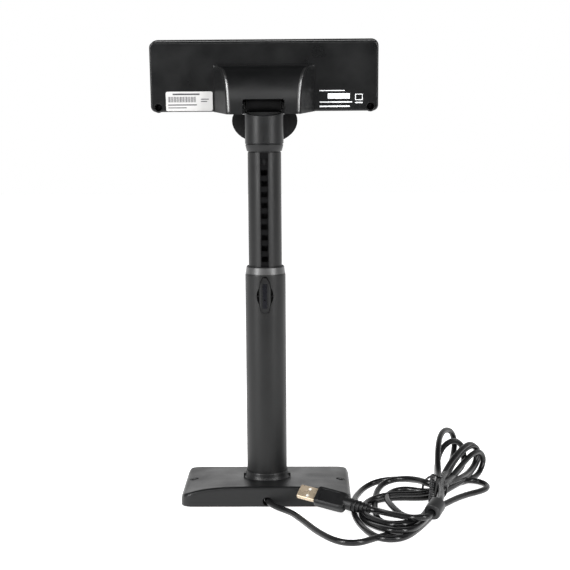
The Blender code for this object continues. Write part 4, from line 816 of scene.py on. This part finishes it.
def make_neck():
    """Ring, neck cup and tilt barrel."""
    bore = 0.0088
    ring = turned("taper_ring", [
        (bore, RING_BOTTOM - 0.012), (UPPER_BORE - GAP, RING_BOTTOM - 0.012), (UPPER_BORE - GAP, RING_BOTTOM),
        (0.0149, RING_BOTTOM), (0.0152, RING_BOTTOM + 0.0003), (NECK_RADIUS - 0.0003, RING_TOP - 0.0008),
        (NECK_RADIUS - 0.0002, RING_TOP - 0.0003), (NECK_RADIUS - 0.0005, RING_TOP), (bore, RING_TOP),
        (bore, RING_BOTTOM - 0.012),
    ], segments=128)
    settle(ring, "mast", "black_plastic", "swivel_ring")
    for name, radius, low, high in (("swivel_seal", 0.0158, RING_TOP - 0.0002, NECK_BOTTOM + 0.0002),
                                    ("ring_seat", 0.014, UPPER_TOP - 0.0004, RING_BOTTOM + 0.0003)):
        settle(sleeve(name, 0.0125, radius, low, high), "mast", "dark_plastic")
    neck = turned("neck_cup", [
        (0.0154, NECK_BOTTOM), (NECK_RADIUS - 0.0005, NECK_BOTTOM + 0.0001),
        (NECK_RADIUS, NECK_BOTTOM + 0.0006), (NECK_RADIUS, TILT_Z), (0.0154, TILT_Z),
    ], segments=128)
    cut(neck, rod("cup", NECK_BORE, NECK_BOTTOM + NECK_FLOOR, 0.36))
    reach = 0.03
    rise = reach * math.tan(NECK_RIM_SLOPE)
    low = [(-reach, -reach, NECK_RIM_Z - rise), (reach, -reach, NECK_RIM_Z - rise),
           (reach, reach, NECK_RIM_Z + rise), (-reach, reach, NECK_RIM_Z + rise)]
    cut(neck, ring_piece("rim", [low, [(x, y, 0.36) for x, y, _ in low]]))
    cut(neck, box("front", (-0.02, -0.02, TILT_Z), (0.02, 0.02, 0.36)))
    barrel = [(0.0084, -0.0155), (0.0088, -0.0151), (0.0088, 0.0151), (0.0084, 0.0155)]
    axis = (0, 0, TILT_Z)
    add(neck, turned("barrel", barrel, axis, (1, 0, 0), 64))
    web = box("web", (-0.0145, -0.0045, NECK_BOTTOM + 0.012), (0.0145, 0.0045, TILT_Z - 0.004))
    add(neck, web)
    for side in (-1, 1):
        cut(neck, rod("seat", 0.0072, 0.0155, 0.02, axis, (side, 0, 0), 48))
    cut(neck, rod("spindle", 0.0082, 0.3, 0.318, (0, 0, 0), (0, 0, 1), 48))
    cut(neck, rod("pin", 0.0024, -0.02, 0.02, axis, (1, 0, 0), 32))
    cut(neck, box("cable", (-0.003, 0.0032, 0.316), (0.003, 0.011, 0.36)))
    soften(neck, 0.0004, 3, 40)
    settle(bake(neck, 40), "neck", "black_plastic", "neck")
    # A thin dark sleeve over the barrel: painted shade where the barrel sits in the notch.
    cover = sleeve("barrel_shade_sleeve", 0.00885, 0.009, -0.015, 0.015, axis, (1, 0, 0), 96)
    settle(cover, "neck", "dark_plastic", finish="painted_shade_plastic")
    mark = box("index_mark", (-0.0006, -NECK_RADIUS - 0.00006, NECK_BOTTOM + 0.0022),
               (0.0006, -NECK_RADIUS + 0.0004, NECK_BOTTOM + 0.0058))
    settle(mark, "neck", "black_plastic", finish="tube_plastic")


# ---- head
def shell_rings(levels, corner_steps=12):
    """Rounded rectangles along Y for a shell: each level is (y, inset)."""
    rings = []
    for y, inset in levels:
        corner = max(HEAD_CORNER - inset, 0.0012)
        low, high = HEAD_BOTTOM + inset, HEAD_TOP - inset
        outline = rounded_outline(HEAD_WIDTH / 2 - inset, low, high, corner, corner_steps)
        rings.append([(x, y, z) for x, z in outline])
    return rings


def fillet(y, inset, radius, sign, steps=6):
    """Levels of a rounded outer edge that ends at depth y."""
    levels = []
    for i in range(steps + 1):
        angle = 0.5 * math.pi * i / steps
        levels.append((y + sign * radius * (1 - math.sin(angle)), inset + radius * (1 - math.cos(angle))))
    return levels


def hump_section(z, share, grow, steps=6):
    """Outline of the hump at one height, from one foot to the other."""
    depth = HUMP_DEPTH * share
    foot = HUMP_FOOT_HALF + grow
    ridge = HUMP_FOOT_HALF - HUMP_NARROWING * share ** 0.6 + grow
    back = HEAD_REAR - depth - grow
    start = HEAD_REAR + (0.001 if grow == 0 else 0.004)
    soft = min(0.0042, 0.45 * depth)
    side = (foot - ridge) * 0.12
    corner = (ridge + side, back + soft)
    right = [(foot, start), (foot, HEAD_REAR)]
    for t in (0.33, 0.66):
        right.append((foot + (corner[0] - foot) * t, HEAD_REAR + (corner[1] - HEAD_REAR) * t))
    inner = (ridge - 1.1 * soft, back)
    knee = (ridge + 0.25 * side, back)
    for i in range(steps + 1):
        t = i / steps
        bend = [(1 - t) ** 2 * a + 2 * t * (1 - t) * b + t * t * c for a, b, c in zip(corner, knee, inner)]
        right.append(tuple(bend))
    right += [(inner[0] * t, back) for t in (0.66, 0.33)]
    left = [(-x, y) for x, y in reversed(right)]
    return [(x, y, z) for x, y in right + left]


def hump_levels(grow, low, high, steps=6):
    """Outlines of the hump from the head's bottom up to where it meets the rear face."""
    rings = []
    for i in range(HUMP_LEVELS + 1):
        angle = 0.5 * math.pi * i / HUMP_LEVELS
        z = low + (high - low) * math.sin(angle)
        rings.append(hump_section(z, max(math.cos(angle), 0.03), grow, steps))
    return rings


def hump(name, grow, low, high):
    """Skin the hump as one closed form."""
    return ring_piece(name, hump_levels(grow, low, high))


def make_hump_edges():
    """Two narrow glossy bands, a little lighter than the shell, where the hump's sides turn into its back: a
    painted sheen for the ridge highlights.
    """
    bottom = HEAD_BOTTOM + REAR_STEP
    outer = hump_levels(EDGE_PROUD, bottom, HUMP_TOP, 12)[1:EDGE_LAST]
    inner = hump_levels(-EDGE_PROUD, bottom, HUMP_TOP, 12)[1:EDGE_LAST]
    first, last = EDGE_POINTS
    for sign, name in ((1, "right"), (-1, "left")):
        rings = []
        for near, deep in zip(outer, inner):
            ring = near[first:last] + list(reversed(deep[first:last]))
            rings.append([(sign * x, y, z) for x, y, z in ring])
        settle(ring_piece(f"hump_edge_{name}", rings), "head", "black_plastic", finish="ridge_sheen")


def make_head():
    """Rear shell with its hump, screw wells and notch, and the front frame around the window."""
    step = REAR_STEP
    outer = list(reversed(fillet(HEAD_REAR, step, 0.0018, 1)))
    levels = outer + [
        (HEAD_SEAM - 0.0003, step), (HEAD_SEAM, step + 0.0003), (HEAD_SEAM, step + HEAD_WALL),
        (HEAD_REAR + HEAD_WALL, step + HEAD_WALL),
    ]
    shell = ring_piece("rear_housing", shell_rings(levels))
    bottom = HEAD_BOTTOM + step
    add(shell, hump("hump", 0.0, bottom, HUMP_TOP))
    cut(shell, hump("hump_inside", -HUMP_WALL, bottom + HEAD_WALL, HUMP_TOP - HUMP_WALL))
    notch = rounded_outline(NOTCH_HALF, -0.02, NOTCH_TOP, 0.002, 6)
    cut(shell, prism("head_notch", notch, -0.03, 0.0205))
    for side in (-1, 1):
        place = (side * HEAD_SCREW_X, 0, HEAD_SCREW_Z)
        tube = rod("tube", 0.0045, HEAD_REAR + 0.001, HEAD_SEAM - 0.001, place, (0, 1, 0), 48)
        add(shell, tube)
        well = [(0.0045, 0.0), (0.0045, HEAD_REAR - 0.0006), (0.0031, HEAD_REAR + 0.0006),
                (0.0031, HEAD_REAR + 0.01), (0.0015, HEAD_REAR + 0.01), (0.0015, 0.03)]
        cut(shell, turned("well", well, place, (0, 1, 0), 48))
    soften(shell, 0.0004, 3, 45)
    # The shell takes the darker head finish: painted shade on the head.
    settle(bake(shell, 35), "head", "black_plastic", "rear_shell", finish="shaded_head_plastic")
    # Blocks in the notch's lower corners, given the darkest finish: their colour is painted shade.
    for side, name in ((-1, "left"), (1, "right")):
        near, far = sorted((side * CHEEK_INNER, side * (NOTCH_HALF + GAP)))
        (low_y, low_z), (high_y, high_z) = CHEEK_SPAN
        cheek = box(f"notch_cheek_{name}", (near, low_y, bottom + low_z), (far, high_y, bottom + high_z))
        soften(cheek, 0.0002)
        settle(bake(cheek), "head", "dark_plastic", finish="painted_shade_plastic")
    front = fillet(HEAD_FRONT, 0.0, 0.0016, -1)
    levels = [(HEAD_FRONT - HEAD_WALL, HEAD_WALL), (HEAD_SEAM + GAP, HEAD_WALL), (HEAD_SEAM + GAP, 0.0003),
              (HEAD_SEAM + 0.0006, 0.0)] + front
    bezel = ring_piece("front_frame", shell_rings(levels))
    middle = DISPLAY_MIDDLE
    rings = []
    for y, grow in ((0.03, 0.0), (HEAD_FRONT - 0.0008, 0.0), (HEAD_FRONT + 0.0008, 0.0016)):
        low, high = middle - 0.02 - grow, middle + 0.02 + grow
        outline = rounded_outline(0.088 + grow, low, high, 0.003 + grow)
        rings.append([(x, y, z) for x, z in outline])
    cut(bezel, ring_piece("aperture", rings))
    settle(bake(bezel, 35), "head", "black_plastic", "front_bezel")


def plate(bm, row, low, high):
    """Add a flat block, (x low, x high, z low, z high), between two depths."""
    left, right, bottom, top = row
    corners = ((left, bottom), (right, bottom), (right, top), (left, top))
    skin(bm, [[(x, y, z) for x, z in corners] for y in (low, high)])


def bars(name, rows, lift, finish):
    """Thin printed bars on the rear face: each row is (x low, x high, z low, z high)."""
    bm = bmesh.new()
    for row in rows:
        plate(bm, row, HEAD_REAR - lift, HEAD_REAR - lift + 0.0003)
    settle(make_piece(name, bm), "head", "label", finish=finish)


def make_prints():
    """Blank sticker with generic stripes, and blank bars printed on the plastic."""
    outline = [(x + LABEL_X, z) for x, z in rounded_outline(LABEL_HALF, LABEL_LOW, LABEL_HIGH, 0.0016, 6)]
    sticker = prism("blank_label", outline, HEAD_REAR - 0.0004, HEAD_REAR - 0.00015)
    settle(sticker, "head", "label", "rating_label")
    left = LABEL_X - LABEL_HALF
    rows = [(left + 0.006, left + 0.0295, 0.0126, 0.014)]
    x = left + 0.002
    for i in range(30):
        width = (0.00028, 0.00055, 0.0004, 0.00075)[(i * 7 + i // 3) % 4]
        rows.append((x, x + width, 0.0064, 0.0112))
        x += width + (0.00034, 0.0005, 0.0003)[(i * 5) % 3]
    rows += [(left + 0.002, left + 0.027, 0.0036, 0.0046), (left + 0.002, left + 0.018, 0.0012, 0.002)]
    rows += [(left + 0.0305, left + 0.0375, 0.0086, 0.0094), (left + 0.0305, left + 0.036, 0.0066, 0.0074)]
    bars("label_stripes", rows, 0.00043, "grey_ink")
    printed = [
        (0.048, 0.07, 0.0152, 0.016), (0.0552, 0.0744, 0.0086, 0.0132), (0.0482, 0.0764, 0.0052, 0.0062),
        (0.0482, 0.0745, 0.0014, 0.0026), (0.079, 0.0856, 0.012, 0.0126), (0.079, 0.0856, 0.0072, 0.0078),
        (0.079, 0.0796, 0.0078, 0.012), (0.085, 0.0856, 0.0078, 0.012), (0.079, 0.0856, 0.0046, 0.0056),
    ]
    bars("printed_bars", printed, 0.00003, "ink")


def make_cells():
    """Two rows of blank character cells on the display glass."""
    bm = bmesh.new()
    for row in (-1, 1):
        for column in range(CELL_COLUMNS):
            x = (column - (CELL_COLUMNS - 1) / 2) * CELL_PITCH
            z = DISPLAY_MIDDLE + row * CELL_ROW
            plate(bm, (x - CELL_HALF[0], x + CELL_HALF[0], z - CELL_HALF[1], z + CELL_HALF[1]), *CELL_DEPTHS)
    settle(make_piece("blank_cells", bm), "head", "lcd", finish="cell")


# ---- cord
def eased(points, passes):
    """Round off the turns of a line whose ends stay."""
    for _ in range(passes):
        inner = [(p + 2 * q + r) / 4 for p, q, r in zip(points, points[1:], points[2:])]
        points = [points[0]] + inner + [points[-1]]
    return points


def smooth_line(route, step):
    """Evenly stepped points on a centripetal curve through a route in metres."""
    points = [Vector(p) for p in route]
    padded = [2 * points[0] - points[1]] + points + [2 * points[-1] - points[-2]]
    fine = []
    for a, b, c, d in zip(padded, padded[1:], padded[2:], padded[3:]):
        t1 = max((b - a).length, 1e-6) ** 0.5
        t2 = t1 + max((c - b).length, 1e-6) ** 0.5
        t3 = t2 + max((d - c).length, 1e-6) ** 0.5
        for i in range(16):
            t = t1 + (t2 - t1) * i / 16
            ab = a.lerp(b, t / t1)
            bc = b.lerp(c, (t - t1) / (t2 - t1))
            cd = c.lerp(d, (t - t2) / (t3 - t2))
            abc = ab.lerp(bc, t / t2)
            bcd = bc.lerp(cd, (t - t1) / (t3 - t1))
            fine.append(abc.lerp(bcd, (t - t1) / (t2 - t1)))
    fine.append(points[-1])
    fine = eased(fine, 3)
    result, carried = [fine[0]], 0.0
    for p, q in zip(fine, fine[1:]):
        length = (q - p).length
        while carried + length >= step:
            share = (step - carried) / length
            p = p.lerp(q, share)
            length = (q - p).length
            result.append(p)
            carried = 0.0
        carried += length
    result.append(fine[-1])
    result = eased(result, SMOOTHING)
    for point in result:
        point.z = max(point.z, CORD_DIAMETER / 2 + 0.00008)
    return result


def cord_route(plug_neck_end):
    """The whole route from the base to the plug."""
    ferrite_high = FERRITE_LOW + FERRITE_ALONG * FERRITE_LENGTH
    bead = [ferrite_high + FERRITE_ALONG * 0.006, ferrite_high, FERRITE_LOW,
            FERRITE_LOW - FERRITE_ALONG * 0.004]
    plug = [plug_neck_end + PLUG_ALONG * 0.006 + Vector((0, 0, 0.0006)), plug_neck_end - PLUG_ALONG * 0.003]
    return [*LEAD, *LOBE_6, *TURN_A, *LOBE_5, *TURN_B, *LOBE_4, *TURN_D, *LOBE_3, *TURN_C, *LOBE_2, *TURN_E,
            *LOBE_1, *LINK, *bead, *TAIL, *plug]


def curve_piece(name, points, radius, resolution=6):
    """A capped round tube along points."""
    curve = bpy.data.curves.new(name, "CURVE")
    curve.dimensions = "3D"
    curve.bevel_depth = radius
    curve.bevel_resolution = resolution
    curve.use_fill_caps = True
    spline = curve.splines.new("POLY")
    spline.points.add(len(points) - 1)
    for target, point in zip(spline.points, points):
        target.co = (*point, 1.0)
    spline.use_smooth = True
    return new_object(name, curve)


def plug_frame(centre):
    """Matrix of the plug's own directions: along, across and face."""
    across = PLUG_FACE.cross(PLUG_ALONG).normalized()
    face = PLUG_ALONG.cross(across)
    turn = Matrix((PLUG_ALONG, across, face)).transposed().to_4x4()
    return Matrix.Translation(centre) @ turn


def plug_box(name, centre, size):
    """A box in the plug's frame: along, across, thick."""
    half = [s / 2 for s in size]
    item = box(name, [-h for h in half], half)
    item.data.transform(plug_frame(centre))
    return item


def rounded_loft(name, sections, corner_steps=6):
    """Skin rounded rectangles along the plug: each is (distance, width, thickness, corner)."""
    rings = []
    for distance, width, thick, corner in sections:
        outline = rounded_outline(width / 2, -thick / 2, thick / 2, corner, corner_steps)
        rings.append([(distance, u, v) for u, v in outline])
    item = ring_piece(name, rings)
    item.data.transform(plug_frame(PLUG_TIP))
    return item


def make_plug():
    """USB plug: folded shell with its two windows, tongue, overmould with a panel and ribbed neck."""
    length, width, thick = PLUG_SHELL
    middle = PLUG_TIP + PLUG_ALONG * length / 2
    shell = rounded_loft("usb_shell", [
        (0.0, width - 0.0004, thick - 0.0004, 0.0007), (0.0003, width, thick, 0.0008),
        (length, width, thick, 0.0008),
    ])
    hollow = (length, width - 0.0007, thick - 0.0007)
    cut(shell, plug_box("shell_hollow", middle - PLUG_ALONG * 0.0008, hollow))
    across = PLUG_FACE.cross(PLUG_ALONG).normalized()
    for side in (-1, 1):
        place = middle + PLUG_ALONG * 0.001 + across * side * 0.0032 + PLUG_FACE * 0.0022
        cut(shell, plug_box("window", place, (0.0025, 0.0025, 0.0016)))
    soften(shell, 0.00012)
    bake(shell)
    settle(shell, "base", "plug_metal", "plug_shell")
    tongue = plug_box("usb_tongue", middle + PLUG_FACE * 0.0009, (length - 0.003, 0.0106, 0.0016))
    settle(tongue, "base", "white_plastic", "plug_tongue")
    start = length + GAP
    body_length, body_width, body_thick = PLUG_BODY
    end = start + body_length
    sections = (
        (start, 0.0022, 0.002, 0.002), (start + 0.0004, 0.0012, 0.001, 0.0024),
        (start + 0.0014, 0.0002, 0.0002, 0.0028), (start + 0.0026, 0, 0, 0.003), (end - 0.004, 0, 0, 0.003),
        (end - 0.0018, 0.0006, 0.0002, 0.0032), (end - 0.0006, 0.002, 0.0008, 0.0033),
        (end, 0.0046, 0.002, 0.0029),
    )
    sections = [(along, body_width - a, body_thick - b, corner) for along, a, b, corner in sections]
    body = rounded_loft("usb_body", sections, 8)
    sections = [(start + along, body_width - 0.0052, 0.0012, 0.0005) for along in (0.0035, 0.02)]
    panel = rounded_loft("panel", sections, 2)
    panel.data.transform(Matrix.Translation(PLUG_FACE * (body_thick / 2)))
    cut(body, panel)
    soften(body, 0.0005, 3)
    bake(body)
    settle(body, "base", "cord", "plug_body", finish="plug_plastic")
    neck = [(0.0001, -0.002), (0.005, -0.002), (0.0055, 0.0056), (0.0047, 0.0062), (0.0046, 0.007)]
    rib = ((0.0002, 0.0), (0.0, 0.0003), (0.0, 0.0017), (0.0002, 0.002), (0.0009, 0.0023), (0.0009, 0.0031))
    for i in range(PLUG_RIBS):
        low = 0.0072 + i * 0.0033
        reach = 0.0053 - i * 0.00028
        neck += [(reach - inward, low + along) for inward, along in rib]
    neck += [(0.0031, PLUG_NECK - 0.0004), (0.0029, PLUG_NECK), (0.0001, PLUG_NECK)]
    relief = turned("usb_relief", neck, PLUG_TIP + PLUG_ALONG * end, PLUG_ALONG, 48)
    settle(relief, "base", "cord", finish="plug_plastic")
    return [shell, tongue, body, relief], PLUG_TIP + PLUG_ALONG * (end + PLUG_NECK)


def make_tie_ends():
    """Two ends of the tie wire, twisted together and pressed down along the coil."""
    start, end = TIE_ENDS
    along = (end - start).normalized()
    side, other = basis(along)
    ends = []
    for strand in range(2):
        points = []
        for i in range(121):
            share = i / 120
            angle = 2 * math.pi * TIE_TWISTS * share + math.pi * strand
            sag = Vector((0, 0, -TIE_SAG * math.sin(math.pi * share)))
            twist = 1.2 * TIE_WIRE * (math.cos(angle) * side + math.sin(angle) * other)
            points.append(start.lerp(end, share) + sag + twist)
        ends.append(settle(curve_piece(f"tie_end_{strand + 1}", points, TIE_WIRE, 4), "base", "tie"))
    return ends


def make_cord():
    """Lead, tied coil, ferrite bead and plug."""
    plug_pieces, neck_end = make_plug()
    points = smooth_line(cord_route(neck_end), CORD_STEP)
    cable = curve_piece("cord_run", points, CORD_DIAMETER / 2)
    settle(cable, "base", "cord", "cord_lead", "cord_tail", "cord_link", "cord_loops", "cord_lobes")
    length, radius, bore = FERRITE_LENGTH, FERRITE_RADIUS, CORD_DIAMETER / 2 + 0.0001
    half = [(bore, 0.0006), (bore + 0.0008, 0.0), (radius - 0.0014, 0.0), (radius - 0.0006, 0.0002),
            (radius - 0.0001, 0.0008), (radius, 0.0016)]
    profile = half + [(r, length - d) for r, d in reversed(half)] + half[:1]
    bead = turned("ferrite_sleeve", profile, FERRITE_LOW, FERRITE_ALONG, 64)
    settle(bead, "base", "dark_plastic", "ferrite_bead", finish="overmould")
    wire = []
    for i in range(97):
        angle = 2 * math.pi * i / 96 - 0.5 * math.pi
        point = TIE_CENTRE + TIE_RADIUS * Vector((TIE_NARROWING * math.cos(angle), 0.0, math.sin(angle)))
        point.z = max(point.z, TIE_WIRE + 0.0001)
        wire.append(point)
    tie = curve_piece("wire_tie", wire, TIE_WIRE, 4)
    settle(tie, "base", "tie", "twist_tie")
    ends = make_tie_ends()


# ---- carried-over parts
def finish_frame():
    """Give every shown CAD node its material and softened edges."""
    slots = {row["node"]: row["material_slot"] for row in frame["record"]["subparts"]}
    for name, item in frame["nodes"].items():
        item.data.materials.clear()
        item.data.materials.append(finishes["black_steel" if name == "latch_pin" else slots[name]])
        if item.hide_render:
            continue
        weld = item.modifiers.new("weld", "WELD")
        weld.merge_threshold = 0.000001
        soften(item, 0.0002, 2, 35)
        weigh_faces(item)


quiet_remove()
finishes = make_materials()
make_camera()
make_studio()
make_cord()
make_base()
make_lower_tube()
make_latch()
make_upper_tube()
make_neck()
make_head()
make_hump_edges()
make_prints()
make_cells()
finish_frame()
